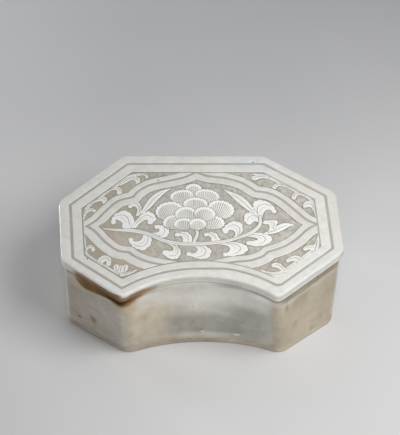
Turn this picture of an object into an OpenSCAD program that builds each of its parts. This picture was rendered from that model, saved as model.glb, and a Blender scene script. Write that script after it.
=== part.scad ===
// Ceramic pillow, slab-built: an eight-sided hollow box of clay slabs with a hollow front,
// under an overhanging headrest whose white slip is cut away round a peony and its leaf scroll.
// Millimetres, +Z up, +Y towards the back, origin at the middle of the underside.

/* [Headrest outline] */
// Length of the headrest between its two ends
rim_length = 255; // [210:1:300]
// Depth of the headrest from its front corners to its back edge
rim_depth = 165; // [140:1:195]
// Length of the straight back edge
back_edge = 130; // [100:1:150]
// Length of each straight end edge
end_edge = 68; // [50:1:85]
// Distance between the two front corners
front_spread = 135; // [110:1:155]
// How far the hollow front bows back from its corners
front_bow = 24; // [12:1:34]
// How far the ends sit behind the middle of the depth
end_middle = -2; // [-10:1:10]
// Hand-cut skew, which puts the right end back and the left end forward
end_skew = 5.5; // [0:0.5:9]
// Hand-cut slant of the left end, whose front is drawn in
left_slant = 6; // [0:0.5:9]
// Hand-cut slant of the right end, whose back is drawn in
right_slant = 4; // [0:0.5:9]
// Sideways shift of the back edge
back_shift = -5.5; // [-10:0.5:10]
// Length of edge that each rounded corner takes up
corner_round = 7; // [3:0.5:10]

/* [Headrest slab] */
// Height of the headrest's face above the ground, at its middle
headrest_height = 88; // [70:1:115]
// Thickness of the headrest slab
headrest_t = 9; // [7:0.5:12]
// Fall of the headrest towards the sleeper, in degrees
slope = 2.9; // [0:0.1:6]
// Radius of the rolled upper edge
edge_r = 3.5; // [2.5:0.25:5]
// How far the headrest stands out past the walls
overhang = 3.5; // [2.5:0.25:6]

/* [Body] */
// Thickness of the wall slabs
wall_t = 8; // [6:0.5:11]
// Thickness of the base slab
base_t = 6; // [5:0.5:9]
// Length of the foot between its two ends
base_length = 240; // [200:1:285]
// Depth of the foot from its front corners to its back edge
base_depth = 150; // [125:1:180]
// Length of the foot's straight back edge
base_back_edge = 122; // [95:1:140]
// Length of the foot's straight end edges
base_end_edge = 64; // [45:1:80]
// How far the foot's ends sit behind the middle of the headrest's depth
base_end_middle = -6.5; // [-15:0.5:8]
// Distance between the foot's two front corners
base_front_spread = 137; // [105:1:150]
// Sideways shift of the foot's front corners
base_front_shift = 4; // [-6:0.5:6]
// How far the foot's hollow front bows back
base_front_bow = 13.5; // [8:0.5:28]
// How far the middle of the foot sits behind the middle of the headrest
base_middle = -1; // [-6:0.5:6]
// Diameter of the firing vent in the back wall
vent_d = 6; // [4:0.5:10]
// Height of the firing vent above the ground
vent_height = 52; // [40:1:60]

/* [Joints] */
// Thickness of the luting slip under the headrest
luting_t = 1; // [0.5:0.1:2]
// Size of the clay coils pressed into the inner angles
coil_size = 8; // [5:0.5:12]
// Room between the coils and the slabs they are pressed against
coil_room = 0.2; // [0.1:0.05:0.4]

/* [Slip and carving] */
// Thickness of the white slip on the headrest
slip_t = 0.9; // [0.6:0.1:1.5]
// Thickness of the white slip on the walls
coat_t = 0.7; // [0.4:0.1:1.2]
// Width of the white band along the rim
rim_band_w = 9.5; // [7:0.5:12]
// Width of the second white band
border_band_w = 9; // [7:0.5:12]
// Width of the second white band along the hollow front
border_front_w = 5; // [3:0.5:9]
// Width of the second white band along the front right edge
border_right_w = 4.5; // [3:0.5:9]
// How far the carver's lines drift outwards along the front left edge
front_left_drift = 1.9; // [0:0.1:3]
// How far the carver's lines drift outwards along the back right edge
back_right_drift = 1.3; // [0:0.1:3]
// Width of the broad incised lines
line_w = 1.9; // [1:0.1:2.5]
// Width of the fine incised line inside the border
fine_line_w = 0.9; // [0.6:0.1:1.5]
// Width of the panel frame's outer band along the back
frame_outer_back = 5.2; // [3.5:0.1:6.5]
// Width of the panel frame's outer band along the front
frame_outer_front = 7.8; // [5:0.1:8.5]
// Width of the panel frame's inner band along the back
frame_inner_back = 6.8; // [5:0.1:8]
// Width of the panel frame's inner band along the front
frame_inner_front = 5.2; // [4:0.1:6.5]
// Width of the cut between the peony's petals
petal_gap = 0.8; // [0.5:0.1:1.4]
// Radius of the blunt corners of the carved slip
blunt = 0.3; // [0.1:0.05:0.5]

/* [Hidden] */

clay = "#b9ae98";
inner_clay = "#c4b69c";
slip_white = "#e9e6dd";
coat_cream = "#ddd5c4";

// Corner numbers, clockwise from above: the hollow front runs from the last corner to the first.
FRONT_LEFT = 0;
LEFT_FRONT = 1;
LEFT_BACK = 2;
BACK_LEFT = 3;
BACK_RIGHT = 4;
RIGHT_BACK = 5;
RIGHT_FRONT = 6;
FRONT_RIGHT = 7;
CORNERS = 8;

// Steps along each rounded corner, each straight edge and the hollow front.
CORNER_STEPS = 4;
EDGE_STEPS = 4;
BOW_STEPS = 14;
CORNER_POINTS = CORNER_STEPS + 1;
EDGE_POINTS = CORNER_POINTS + EDGE_STEPS - 1;
LOOP_POINTS = (CORNERS - 1) * EDGE_POINTS + CORNER_POINTS + BOW_STEPS - 1;

// Plane geometry
function unit(v) = v / norm(v);
function cross_z(a, b) = a.x * b.y - a.y * b.x;
function meet(p, d, q, e) = p + d * cross_z(q - p, e) / cross_z(d, e);
function inward(a, b) = let (d = unit(b - a)) [d.y, -d.x];
function bezier2(a, b, c, t) = (1 - t) * (1 - t) * a + 2 * t * (1 - t) * b + t * t * c;
function backwards(list) = [for (i = [len(list) - 1:-1:0]) list[i]];

// Where the line from p along the unit vector d meets the circle of radius r about q, nearest to p
function line_on_circle(p, d, q, r) =
    let (w = p - q, b = w * d, h = sqrt(max(0, b * b - w * w + r * r)))
    p + d * (abs(h - b) < abs(-h - b) ? h - b : -h - b);

// A smooth curve through the points, with the given number of steps between each two
function through(points, steps) = [
    for (i = [0:len(points) - 2], s = [0:steps - (i == len(points) - 2 ? 0 : 1)])
        let (a = points[max(i - 1, 0)], b = points[i], c = points[i + 1],
             d = points[min(i + 2, len(points) - 1)], t = s / steps)
        b + ((c - a) * t + (2 * a - 5 * b + 4 * c - d) * t * t + (3 * b - a - 3 * c + d) * t * t * t) / 2
];

// Corners of the headrest's hand-cut outline and of the foot, each clockwise from the front left
RIM = [
    [-front_spread / 2, -rim_depth / 2],
    [-rim_length / 2 + left_slant, end_middle - end_skew - end_edge / 2],
    [-rim_length / 2, end_middle - end_skew + end_edge / 2],
    [back_shift - back_edge / 2, rim_depth / 2],
    [back_shift + back_edge / 2, rim_depth / 2],
    [rim_length / 2 - right_slant, end_middle + end_skew + end_edge / 2],
    [rim_length / 2, end_middle + end_skew - end_edge / 2],
    [front_spread / 2, -rim_depth / 2]
];
FOOT = [
    [base_front_shift - base_front_spread / 2, base_middle - base_depth / 2],
    [-base_length / 2, base_end_middle - base_end_edge / 2],
    [-base_length / 2, base_end_middle + base_end_edge / 2],
    [-base_back_edge / 2, base_middle + base_depth / 2],
    [base_back_edge / 2, base_middle + base_depth / 2],
    [base_length / 2, base_end_middle + base_end_edge / 2],
    [base_length / 2, base_end_middle - base_end_edge / 2],
    [base_front_shift + base_front_spread / 2, base_middle - base_depth / 2]
];

// The hollow front is an arc through both front corners.
function bow_radius(c, bow) = let (half = (c[FRONT_RIGHT].x - c[FRONT_LEFT].x) / 2)
    (half * half + bow * bow) / (2 * bow);
function bow_centre(c, bow) = [(c[FRONT_LEFT].x + c[FRONT_RIGHT].x) / 2,
                               c[FRONT_LEFT].y + bow - bow_radius(c, bow)];
function on_bow(c, bow, inset, angle) =
    bow_centre(c, bow) + (bow_radius(c, bow) + inset) * [cos(angle), sin(angle)];
function bow_angle(c, bow, p) = let (v = p - bow_centre(c, bow)) atan2(v.y, v.x);

// A corner moved in from its two edges, with the insets of all edges listed by the corner that each starts at
function inset_corner(c, bow, i, insets) =
    let (before = i == FRONT_LEFT ? c[i] : c[i - 1], after = i == FRONT_RIGHT ? c[i] : c[i + 1],
         middle = bow_centre(c, bow), reach = bow_radius(c, bow) + insets[FRONT_RIGHT])
    i == FRONT_LEFT
        ? line_on_circle(c[i] + inward(c[i], after) * insets[i], unit(after - c[i]), middle, reach)
    : i == FRONT_RIGHT
        ? line_on_circle(c[i] + inward(before, c[i]) * insets[i - 1], unit(c[i] - before), middle, reach)
    : meet(c[i] + inward(before, c[i]) * insets[i - 1], c[i] - before,
           c[i] + inward(c[i], after) * insets[i], after - c[i]);

// The rounded corner i of the outline, as CORNER_POINTS points
function round_corner(c, bow, i, insets, r) =
    let (p = inset_corner(c, bow, i, insets), bow_inset = insets[FRONT_RIGHT],
         turn = r / (bow_radius(c, bow) + bow_inset) * 180 / PI,
         a = i == FRONT_LEFT ? on_bow(c, bow, bow_inset, bow_angle(c, bow, p) - turn)
             : p - unit(c[i] - c[i - 1]) * r,
         b = i == FRONT_RIGHT ? on_bow(c, bow, bow_inset, bow_angle(c, bow, p) + turn)
             : p + unit(c[i + 1] - c[i]) * r)
    [for (s = [0:CORNER_STEPS]) bezier2(a, p, b, s / CORNER_STEPS)];

// The whole outline moved in: LOOP_POINTS points, clockwise from above
function outline(c, bow, insets, r) =
    let (k = [for (i = [0:CORNERS - 1]) round_corner(c, bow, i, insets, r)], bow_inset = insets[FRONT_RIGHT],
         from = bow_angle(c, bow, k[FRONT_RIGHT][CORNER_STEPS]),
         to = bow_angle(c, bow, k[FRONT_LEFT][0]))
    concat(
        [for (i = [0:CORNERS - 2]) each concat(k[i],
            [for (s = [1:EDGE_STEPS - 1])
                k[i][CORNER_STEPS] + (k[i + 1][0] - k[i][CORNER_STEPS]) * s / EDGE_STEPS])],
        k[FRONT_RIGHT],
        [for (s = [1:BOW_STEPS - 1]) on_bow(c, bow, bow_inset, from + (to - from) * s / BOW_STEPS)]);

// Corners get sharper further in, down to the carver's smallest turn.
smallest_turn = 1.5;
function turn_at(inset) = max(smallest_turn, corner_round - inset * 0.3);
function all_round(inset) = [for (i = [1:CORNERS]) inset];
function rim_outline(inset) = outline(RIM, front_bow, all_round(inset), turn_at(inset));
function foot_outline(inset) = outline(FOOT, base_front_bow, all_round(inset), turn_at(inset));
function line_outline(insets) = outline(RIM, front_bow, insets, turn_at(insets[LEFT_FRONT]));

// The headrest's face is a plane that falls towards the front.
function face_z(p) = headrest_height + p.y * tan(slope);
function on_face(loop, lift) = [for (p = loop) [p.x, p.y, face_z(p) + lift]];
function at_height(loop, z) = [for (p = loop) [p.x, p.y, z]];

// Solids between loops of equal length
function band_faces(loops, n, wrap) = [
    for (k = [0:loops - (wrap ? 1 : 2)], i = [0:n - 1])
        let (a = k * n + i, b = k * n + (i + 1) % n, up = ((k + 1) % loops) * n)
        each [[a, b, up + (i + 1) % n], [a, up + (i + 1) % n, up + i]]
];

// A stack of loops from the lowest to the highest, closed by a fan at each end
module stack(loops) {
    n = len(loops[0]);
    count = len(loops);
    points = [for (loop = loops) each loop];
    low = len(points);
    share = [for (i = [1:n]) 1 / n];
    middles = [for (loop = [loops[0], loops[count - 1]]) share * loop];
    polyhedron(concat(points, middles), concat(
        band_faces(count, n, false),
        [for (i = [0:n - 1]) [low, (i + 1) % n, i]],
        [for (i = [0:n - 1]) [low + 1, (count - 1) * n + i, (count - 1) * n + (i + 1) % n]]));
}

// A closed band whose profile is the loops in order: up the outside, then down the inside
module ring(loops) {
    polyhedron([for (loop = loops) each loop], band_faces(len(loops), len(loops[0]), true));
}

// A bar through equal sections, each clockwise as seen from the bar's start
module bar(sections) {
    m = len(sections[0]);
    last = (len(sections) - 1) * m;
    polyhedron([for (s = sections) each s], concat(
        [for (k = [0:len(sections) - 2], j = [0:m - 1])
            let (a = k * m + j, b = k * m + (j + 1) % m)
            each [[a, a + m, b], [b, a + m, b + m]]],
        [for (j = [1:m - 2]) [0, j, j + 1]],
        [for (j = [1:m - 2]) [last, last + j + 1, last + j]]));
}

// Heights of the wall joints
function under_z(p) = face_z(p) - headrest_t;
function wall_top_z(p) = under_z(p) - luting_t;
function at_wall_top(loop) = [for (p = loop) [p.x, p.y, wall_top_z(p)]];
function under_headrest(loop) = [for (p = loop) [p.x, p.y, under_z(p)]];

// Base slab, flush with the wall's slip coat
module base_slab() {
    color(clay) linear_extrude(base_t) polygon(foot_outline(-coat_t));
}

// One wall slab, mitred at the middle of the corner it starts from and of the next
module wall(corner) {
    first = corner * EDGE_POINTS + CORNER_STEPS / 2;
    last = corner == FRONT_RIGHT ? LOOP_POINTS + CORNER_STEPS / 2 : first + EDGE_POINTS;
    foot_out = at_height(foot_outline(0), base_t);
    foot_in = at_height(foot_outline(wall_t), base_t);
    top_out = at_wall_top(rim_outline(overhang));
    top_in = at_wall_top(rim_outline(overhang + wall_t));
    bar([for (k = [first:last])
        let (i = k % LOOP_POINTS)
        [foot_out[i], top_out[i], top_in[i], foot_in[i]]]);
}

// The back wall with its firing vent
module back_wall() {
    color(clay) difference() {
        wall(BACK_LEFT);
        vent(vent_d);
    }
}

// The vent's bore, square through the back wall
module vent(d) {
    translate([0, base_middle + base_depth / 2 - wall_t * 2, vent_height])
        rotate([-90, 0, 0]) cylinder(d = d, h = wall_t * 4, $fn = 48);
}

// Coils pressed into the upright inner angles, hollowed by the potter's finger
module corner_coils() {
    foot = foot_outline(wall_t + coil_room);
    top = rim_outline(overhang + wall_t + coil_room);
    color(inner_clay) for (c = [0:CORNERS - 1]) {
        mid = c * EDGE_POINTS + CORNER_STEPS / 2;
        bar([for (share = [0, 0.5, 1])
            [for (p = coil_section(foot, top, mid)) let (
                low = [p[0].x, p[0].y, base_t],
                high = [p[1].x, p[1].y, wall_top_z(p[1])],
                start = (coil_size + coil_room) / (high.z - base_t))
                low + (high - low) * (start + (1 - start) * share)]]);
    }
}

// Pairs of points, at the foot and at the wall top, round one coil's section
function coil_section(foot, top, mid) =
    let (arm = function (loop, s) let (n = LOOP_POINTS, p = loop[(mid + n) % n],
                                       q = loop[(mid + s * (CORNER_STEPS / 2 + 1) + n) % n])
             p + unit(q - p) * coil_size,
         bend = function (loop, t) let (p = loop[mid], a = arm(loop, -1), b = arm(loop, 1),
                                        room = unit((a + b) / 2 - p) * coil_size * 0.3)
             bezier2(a, p + room, b, t))
    concat([[foot[mid], top[mid]]],
           backwards([for (t = [0:0.25:1]) [bend(foot, t), bend(top, t)]]));

// Coil pressed into the angle between the base slab and the walls
module base_coil() {
    color(inner_clay) ring([
        at_height(foot_outline(wall_t + coil_room), base_t),
        inside_walls(base_t + coil_size),
        at_height(foot_outline(wall_t + coil_size * 0.3), base_t + coil_size * 0.3),
        at_height(foot_outline(wall_t + coil_size), base_t)
    ]);
}

// The loop just inside the walls' inner faces at a height
function inside_walls(z) =
    let (foot = foot_outline(wall_t + coil_room), top = rim_outline(overhang + wall_t + coil_room))
    [for (i = [0:LOOP_POINTS - 1])
        let (p = foot[i] + (top[i] - foot[i]) * (z - base_t) / (wall_top_z(top[i]) - base_t))
        [p.x, p.y, z]];

// Luting slip between the wall tops and the headrest
module headrest_luting() {
    out = rim_outline(overhang);
    in = rim_outline(overhang + wall_t);
    color(inner_clay) ring([at_wall_top(out), under_headrest(out), under_headrest(in), at_wall_top(in)]);
}

// Half-round of the rolled rim, as pairs of inset and height, for a skin that lies depth below the outside
ROLL_STEPS = 4;
function roll(depth) = [for (s = [0:ROLL_STEPS]) let (a = 90 * s / ROLL_STEPS)
    [edge_r - (edge_r - depth) * cos(a), slip_t - edge_r + (edge_r - depth) * sin(a)]];
foot_bevel = 0.8;

// Headrest slab, with its face bare where the slip is cut away
module headrest_slab() {
    low = -headrest_t;
    color(clay) stack(concat(
        [on_face(rim_outline(slip_t + foot_bevel), low), on_face(rim_outline(slip_t), low + foot_bevel)],
        [for (p = roll(slip_t)) on_face(rim_outline(p[0]), p[1])]));
}

// White slip over the walls, from the base slab's joint up to the headrest
module wall_slip_coat() {
    foot_out = at_height(foot_outline(-coat_t), base_t);
    foot_in = at_height(foot_outline(0), base_t);
    top_out = under_headrest(rim_outline(overhang - coat_t));
    top_in = rim_outline(overhang);
    color(coat_cream) difference() {
        ring([foot_out, top_out, under_headrest(top_in), at_wall_top(top_in), foot_in]);
        vent(vent_d);
    }
}

// White slip rolled over the rim, from its lower edge to the first incised line
module rim_slip_band() {
    low = -headrest_t + foot_bevel;
    outside = concat([[slip_t / 3, low], [0, low + foot_bevel]], roll(0));
    inside = concat(backwards(roll(slip_t)), [[slip_t, low]]);
    line = line_outline(LINE_IN);
    color(slip_white) ring(concat(
        [for (p = outside) on_face(rim_outline(p[0]), p[1])],
        [on_face(line, slip_t), on_face(line, 0)],
        [for (p = inside) on_face(rim_outline(p[0]), p[1])]));
}

// Insets of the hand-drawn lines, edge by edge
DRIFT = [front_left_drift, 0, 0, 0, back_right_drift, 0, 0, 0];
LINE_IN = all_round(rim_band_w) - DRIFT;
BORDER_OUT = LINE_IN + all_round(line_w);
BORDER_W = concat([for (i = [FRONT_LEFT:RIGHT_BACK]) border_band_w - DRIFT[i]],
                  [border_right_w, border_front_w]);
BORDER_IN = BORDER_OUT + BORDER_W;
FIELD_IN = BORDER_IN + all_round(fine_line_w);

// Second white band, between the broad line and the fine one
module border_slip_band() {
    out = line_outline(BORDER_OUT);
    in = line_outline(BORDER_IN);
    color(slip_white) ring([on_face(out, 0), on_face(out, slip_t), on_face(in, slip_t), on_face(in, 0)]);
}

// The carved field: everything inside the fine line
field_inset = FIELD_IN[LEFT_FRONT];
module field() {
    polygon(along_face(line_outline(FIELD_IN)));
}

// Points seen from above, as they lie along the sloping face
function along_face(loop) = [for (p = loop) [p.x, p.y / cos(slope)]];

// Stands its flat shapes up as white slip on the headrest's face, with blunt carved corners
module as_slip() {
    color(slip_white) translate([0, 0, headrest_height]) rotate([slope, 0, 0]) linear_extrude(slip_t)
        offset(r = blunt, $fn = 16) offset(r = -blunt, $fn = 8) children();
}

// The pattern was drawn in a field of this size, round this middle, and is stretched to the field.
drawn_field = [212, 122];
drawn_middle = [-0.6, 1];
pattern_scale = [(rim_length - 2 * field_inset) / drawn_field.x,
                 (rim_depth - 2 * field_inset) / drawn_field.y];
function stretched(p) = [p.x * pattern_scale.x, p.y * pattern_scale.y];

// Corners of the field that it was drawn in and of the real field, each with the middle of the front
DRAWN_CORNERS = [
    [-66.9, -60.7], [-100.5, -35.2], [-105.2, 18.3], [-61.7, 61], [57.2, 61],
    [102.5, 29.2], [105.8, -26.9], [66.8, -60.6], [0, -41.1]
];
FROM = [for (p = DRAWN_CORNERS) stretched(p)];
TO = concat([for (i = [0:CORNERS - 1]) inset_corner(RIM, front_bow, i, FIELD_IN)],
            [on_bow(RIM, front_bow, FIELD_IN[FRONT_RIGHT], 90)]);

// Distance from the middle to the field's edge in a direction
function reach(corners, d) = max([
    for (i = [0:len(corners) - 1])
        let (a = corners[i], edge = corners[(i + 1) % len(corners)] - a, turn = cross_z(d, edge),
             t = turn == 0 ? -1 : cross_z(a, d) / turn)
        t >= 0 && t <= 1 ? cross_z(a, edge) / turn : 0
]);

// A drawn point in the field: stretched with it, and drawn along with its edge the nearer it lies to that
function place(p) =
    let (q = stretched(p - drawn_middle), far = norm(q), d = far == 0 ? [1, 0] : q / far,
         drawn = reach(FROM, d), share = min(1, far / drawn))
    q * (1 + (reach(TO, d) / drawn - 1) * share * share);
function placed(list) = along_face([for (p = list) place(p)]);
CURVE_STEPS = 4;
function curve(list) = through(placed(list), CURVE_STEPS);

// The panel's lobed line runs clockwise through its lobes, which meet in points.
PANEL_LOBES = [
    [[-4, 63], [6, 58.2], [22, 55.5], [37, 50], [50, 39.8]],
    [[50, 39.8], [62, 37.2], [74, 28.8], [86, 15.5], [95, 5.8], [104, 1]],
    [[104, 1], [95, -4.5], [85, -15.5], [73, -24.5], [59, -30.5]],
    [[59, -30.5], [54, -35.5], [43, -40], [28, -42], [10, -47]],
    [[10, -47], [-18, -48]],
    [[-18, -48], [-33, -44.8], [-46, -41.6], [-57, -36], [-63, -30.8]],
    [[-63, -30.8], [-73, -28.8], [-84, -19.5], [-94, -7], [-101, -1.3]],
    [[-101, -1.3], [-93, 5.5], [-84, 17.5], [-74, 28], [-61, 32.8]],
    [[-61, 32.8], [-56, 40], [-45, 47.6], [-28, 52.5], [-14, 57], [-4, 63]]
];
function lobe_loop() = [for (lobe = PANEL_LOBES)
    let (c = curve(lobe)) each [for (i = [0:len(c) - 2]) c[i]]];

// The panel inside its lobed line, grown by a margin that differs along the back and the front
module panel(back, front) {
    for (half = [[back, 1], [front, 0]]) intersection() {
        offset(delta = half[0]) polygon(lobe_loop());
        translate([-rim_length, -rim_depth + half[1] * rim_depth]) square([2 * rim_length, rim_depth]);
    }
}
half_line = line_w / 2;

// The white frame of the panel: a band outside its lobed line and a band inside it
module frame_outer_band() {
    as_slip() intersection() {
        difference() {
            panel(frame_outer_back + half_line, frame_outer_front + half_line);
            panel(half_line, half_line);
        }
        field();
    }
}
module frame_inner_band() {
    as_slip() intersection() {
        difference() {
            panel(-half_line, -half_line);
            panel_ground();
        }
        field();
    }
}
module panel_ground() {
    panel(-half_line - frame_inner_back, -half_line - frame_inner_front);
}

// A leaf lies between an outer and an inner edge, both drawn from its base to its tip.
module leaf(edges) {
    polygon(concat(curve(edges[0]), backwards(curve(edges[1]))));
}
module leaves(list) {
    as_slip() intersection() {
        difference() {
            union() for (edges = list) leaf(edges);
            offset(delta = fine_line_w / 2) stems();
            petals(petal_gap);
        }
        carved_ground();
    }
}

// The ground that the pattern stands in, inside the panel's frame and the border
module carved_ground() {
    intersection() {
        panel_ground();
        field();
    }
}

// A stalk along its middle line, given as points with half widths
module stalk(line) {
    path = curve([for (s = line) [s[0], s[1]]]);
    half = through([for (s = line) [s[2], 0]], CURVE_STEPS);
    last = len(path) - 1;
    side = [for (i = [0:last]) inward(path[max(i - 1, 0)], path[min(i + 1, last)]) * half[i].x];
    polygon(concat(path - side, backwards(path + side)));
}

STEM = [[-86, -4.3, 0.5], [-74, -5.8, 1.2], [-60, -6.6, 1.9], [-46, -10.5, 1.8], [-33, -17.5, 1.8],
        [-18, -21.3, 1.9], [0, -21.4, 1.8], [18, -19.4, 1.6], [32, -15, 1.4], [45, -8.6, 1.6],
        [52.5, 0, 1.6], [53.2, 10, 1.2]];
FLOWER_STALK = [[-4.2, -4, 1.5], [-2.8, -10, 1.4], [-5.4, -18, 1.5], [-6, -21, 1.6]];

module stems() {
    stalk(STEM);
    stalk(FLOWER_STALK);
}
module peony_stem() {
    as_slip() intersection() {
        difference() {
            stems();
            petals(petal_gap);
        }
        carved_ground();
    }
}

// Leaves left of the bloom
LEFT_LEAVES = [
    [[[-60, -4.6], [-58.6, 4], [-62, 13], [-67.5, 16.8], [-75.5, 13.5], [-79.4, 6.5], [-78.6, 0.5]],
     [[-66, -5.2], [-69.6, -2.5], [-69.6, 2], [-72.5, 5], [-75.6, 6.2], [-77, 3.4], [-78, 0.5]]],
    [[[-54.5, 12.5], [-49.5, 24], [-44.5, 33], [-36, 40], [-26.5, 43.2]],
     [[-51, 13.8], [-44.5, 21], [-38, 30.5], [-32, 37.8], [-27, 42.4]]],
    [[[-55.2, 10.5], [-52.8, 18], [-54.2, 24.5], [-58.5, 27], [-64.5, 22.3]],
     [[-58, 10.8], [-56.6, 16.5], [-58, 20.8], [-61, 21.8], [-64.2, 21.2]]],
    [[[-62, -3.2], [-57, 5.5], [-52, 13.2], [-45.5, 15.8], [-39, 8.6], [-42, 3.4], [-46.8, 1.2]],
     [[-57.5, -3.5], [-53.6, 2.5], [-49.5, 5.8], [-46.3, 5], [-46, 3], [-47.2, 1.8]]],
    [[[-51, -9.2], [-40, -14.2], [-31, -14.2], [-27.4, -7], [-32, -0.6], [-39, 0], [-41, -1.8]],
     [[-51, -7.4], [-43, -8.8], [-37.8, -8.2], [-36.6, -5.2], [-38.8, -3.4], [-40.8, -2.8]]],
    [[[-46, -9.5], [-43, -17], [-45, -25], [-51, -28.8], [-58.5, -25.8], [-62.6, -20], [-63.6, -15.4]],
     [[-50.5, -8.5], [-51.2, -14], [-53.6, -18], [-57.5, -18.8], [-61, -17.4], [-63, -15.2]]]
];

// Leaves under the bloom
LOWER_LEAVES = [
    [[[-31, -18.2], [-21, -23], [-17, -31], [-20, -37.8], [-25, -39], [-31.5, -35], [-33.2, -30.8]],
     [[-30, -21], [-24.6, -25], [-24.2, -28.8], [-27.4, -29.4], [-30.4, -28.6], [-32.8, -30]]],
    [[[-16, -21.4], [2, -22.8], [9.6, -29], [8, -35.6], [2, -38.6], [-7, -36.4], [-12.6, -32.6]],
     [[-14, -23], [-5, -24.8], [-2.6, -28.2], [-4.6, -31.6], [-9, -32.4], [-12.4, -32]]],
    [[[13, -20], [30, -19.4], [40, -23], [41.6, -28.4], [36, -33.2], [27, -35.4], [19.6, -33.8]],
     [[14, -22], [22, -23], [25.6, -26.4], [24.4, -30.4], [21.6, -32.4], [19.8, -33]]],
    [[[-7.6, -21.6], [-7.4, -15], [-9.4, -9.6], [-15, -7.6], [-20, -9.6], [-22.6, -12.8]],
     [[-16.5, -21], [-15.6, -16.4], [-16.6, -13.2], [-19, -12.2], [-20.8, -12.4], [-22.4, -13.2]]],
    [[[18, -19.2], [16.4, -14], [13.4, -9.2], [8.6, -8], [4.4, -10], [3.2, -12.6]],
     [[10, -20], [9.2, -16], [8.4, -13.2], [6.4, -12], [5, -12.2], [3.4, -13]]]
];

// Leaves right of the bloom
RIGHT_LEAVES = [
    [[[29.5, -16], [37, -7.5], [37, 1], [31, 4.8], [24.5, 2], [19.2, -4.5], [21, -9.4]],
     [[27, -16.6], [30.6, -11], [29.6, -7], [26.6, -5.6], [24.4, -6.6], [22.4, -9.6]]],
    [[[31, -14.8], [44, -9], [57, -9.8], [63.4, -15], [60, -21], [51, -24.4], [42, -22.4], [40.4, -19.6]],
     [[32, -15.8], [40, -13.4], [48, -14.4], [50.4, -16.4], [46.5, -18], [43, -18.2], [40.8, -19]]],
    [[[56, -9.4], [63.5, -4.6], [70, 0.6], [76.5, 2.4], [83.5, 0.4]],
     [[56, -10.8], [66, -9.2], [73.6, -5.2], [79, -1.5], [83, -0.2]]],
    [[[64.6, -6.4], [67.6, 0], [68.6, 4.4], [63.5, 5.6], [57.5, 5.2], [55, 2.6]],
     [[60, -8], [61, -3], [60.6, 0.2], [58.6, 1], [57.2, 0.8], [55.6, 1.8]]],
    [[[53, 6], [51, 12.6], [45, 15.8], [39.6, 12.4], [38.6, 5.6], [41, 1.6], [44, 1]],
     [[51.5, 2.6], [49.6, 5.2], [47, 5.6], [45, 4.2], [44.4, 2.8], [44.4, 1.6]]],
    [[[51.6, 9], [47.4, 19], [47.6, 27], [54, 29.6], [61.6, 26.4], [66.6, 20], [66.8, 14.6]],
     [[55, 6], [55.8, 12], [58, 16.8], [61.2, 18], [63.8, 16.4], [65.6, 14.2]]],
    [[[51.4, 12], [44.4, 24.6], [38.5, 32.4], [30, 37.8], [20.4, 42]],
     [[49.6, 11.4], [41, 18.4], [33, 26.8], [27.4, 34], [21, 41]]]
];

// Petals from the back of the bloom to its front: middle, half width, half height and tilt
PETALS = [
    [-6.4, 42.6, 7.4, 5.8, 0], [-17, 34, 10.6, 7.2, 12], [6, 34.6, 11.2, 7.2, -14],
    [-28, 16.4, 12.4, 10.4, 18], [18, 18, 12.2, 10.6, -18], [-4.6, 24.4, 10.8, 7.6, 0],
    [-24, 3.6, 9.6, 8, 20], [10, 3.4, 11.6, 8, -12], [-13.4, 13, 9.4, 8, 8],
    [3.8, 13, 9.4, 8, -8], [-15, 1.2, 8.6, 6.6, 6], [-2.6, 1, 7.4, 6.6, -4]
];
SCALLOPS = 11;
SCALLOP_POINTS = 4;
scallop_depth = 0.1;

// A petal's scalloped edge, grown by a margin
module petal(p, grow) {
    steps = SCALLOPS * SCALLOP_POINTS;
    centre = placed([[p[0], p[1]]])[0];
    translate(centre) rotate(p[4]) polygon([for (s = [0:steps - 1])
        let (a = 360 * s / steps, share = 1 - scallop_depth * (1 - abs(sin(a * SCALLOPS / 2))),
             reach = [p[2] * pattern_scale.x, p[3] * pattern_scale.y] * share + [grow, grow])
        [reach.x * cos(a), reach.y * sin(a)]]);
}

// All petals as one shape, grown by a margin
module petals(grow) {
    for (p = PETALS) petal(p, grow);
}
module peony_bloom() {
    last = len(PETALS) - 1;
    as_slip() intersection() {
        union() for (i = [0:last]) difference() {
            petal(PETALS[i], 0);
            for (j = [i + 1:1:last]) petal(PETALS[j], petal_gap);
        }
        carved_ground();
    }
}

// Corner sprays: a vine along the border, as a stalk, and the hooked leaves that grow from it
BACK_LEFT_VINE = [[-104.4, 4, 0.5], [-103.4, 14, 1.2], [-101, 21, 1.5], [-96, 27.5, 1.5], [-89, 34.8, 1.6],
                  [-81, 42.6, 1.6], [-73, 50.2, 1.8], [-66, 55.8, 2], [-58, 59.2, 1.5], [-50, 60.4, 0.8]];
BACK_LEFT_HOOKS = [
    [[[-104.5, 9.5], [-103.6, 16], [-100, 19.2], [-95.5, 18.8], [-93.6, 16], [-94.6, 13.6]],
     [[-103, 9.5], [-101.6, 13.6], [-98.6, 16], [-96.4, 15.8], [-95.6, 14.6], [-95.2, 13.8]]],
    [[[-99, 25.5], [-93, 31.2], [-88, 33.4], [-84.2, 31], [-84.4, 27.6], [-87, 24.8]],
     [[-99, 24.4], [-94, 26.8], [-90.6, 28], [-88.8, 27.4], [-88.4, 25.8], [-88, 25]]],
    [[[-86, 37.5], [-80.5, 43.4], [-75.5, 44.8], [-71.6, 42.2], [-71.4, 38.4], [-74, 35]],
     [[-85.5, 36.8], [-81, 40.6], [-77.4, 41.4], [-75.4, 39.6], [-75, 37], [-75, 35.4]]],
    [[[-73.5, 48], [-67, 54.4], [-60.5, 57.2], [-55.6, 55.2], [-55.4, 51.6], [-58.4, 48]],
     [[-73, 46.4], [-67, 50.4], [-62.4, 53.2], [-59.4, 52], [-58.8, 50], [-59, 48.4]]],
    [[[-58, 60.6], [-52, 60.8], [-48.4, 59.6], [-47.6, 57], [-49, 55]],
     [[-58, 58.8], [-53, 58.8], [-50.6, 57.8], [-50, 56.4], [-50, 55.2]]]
];
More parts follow.
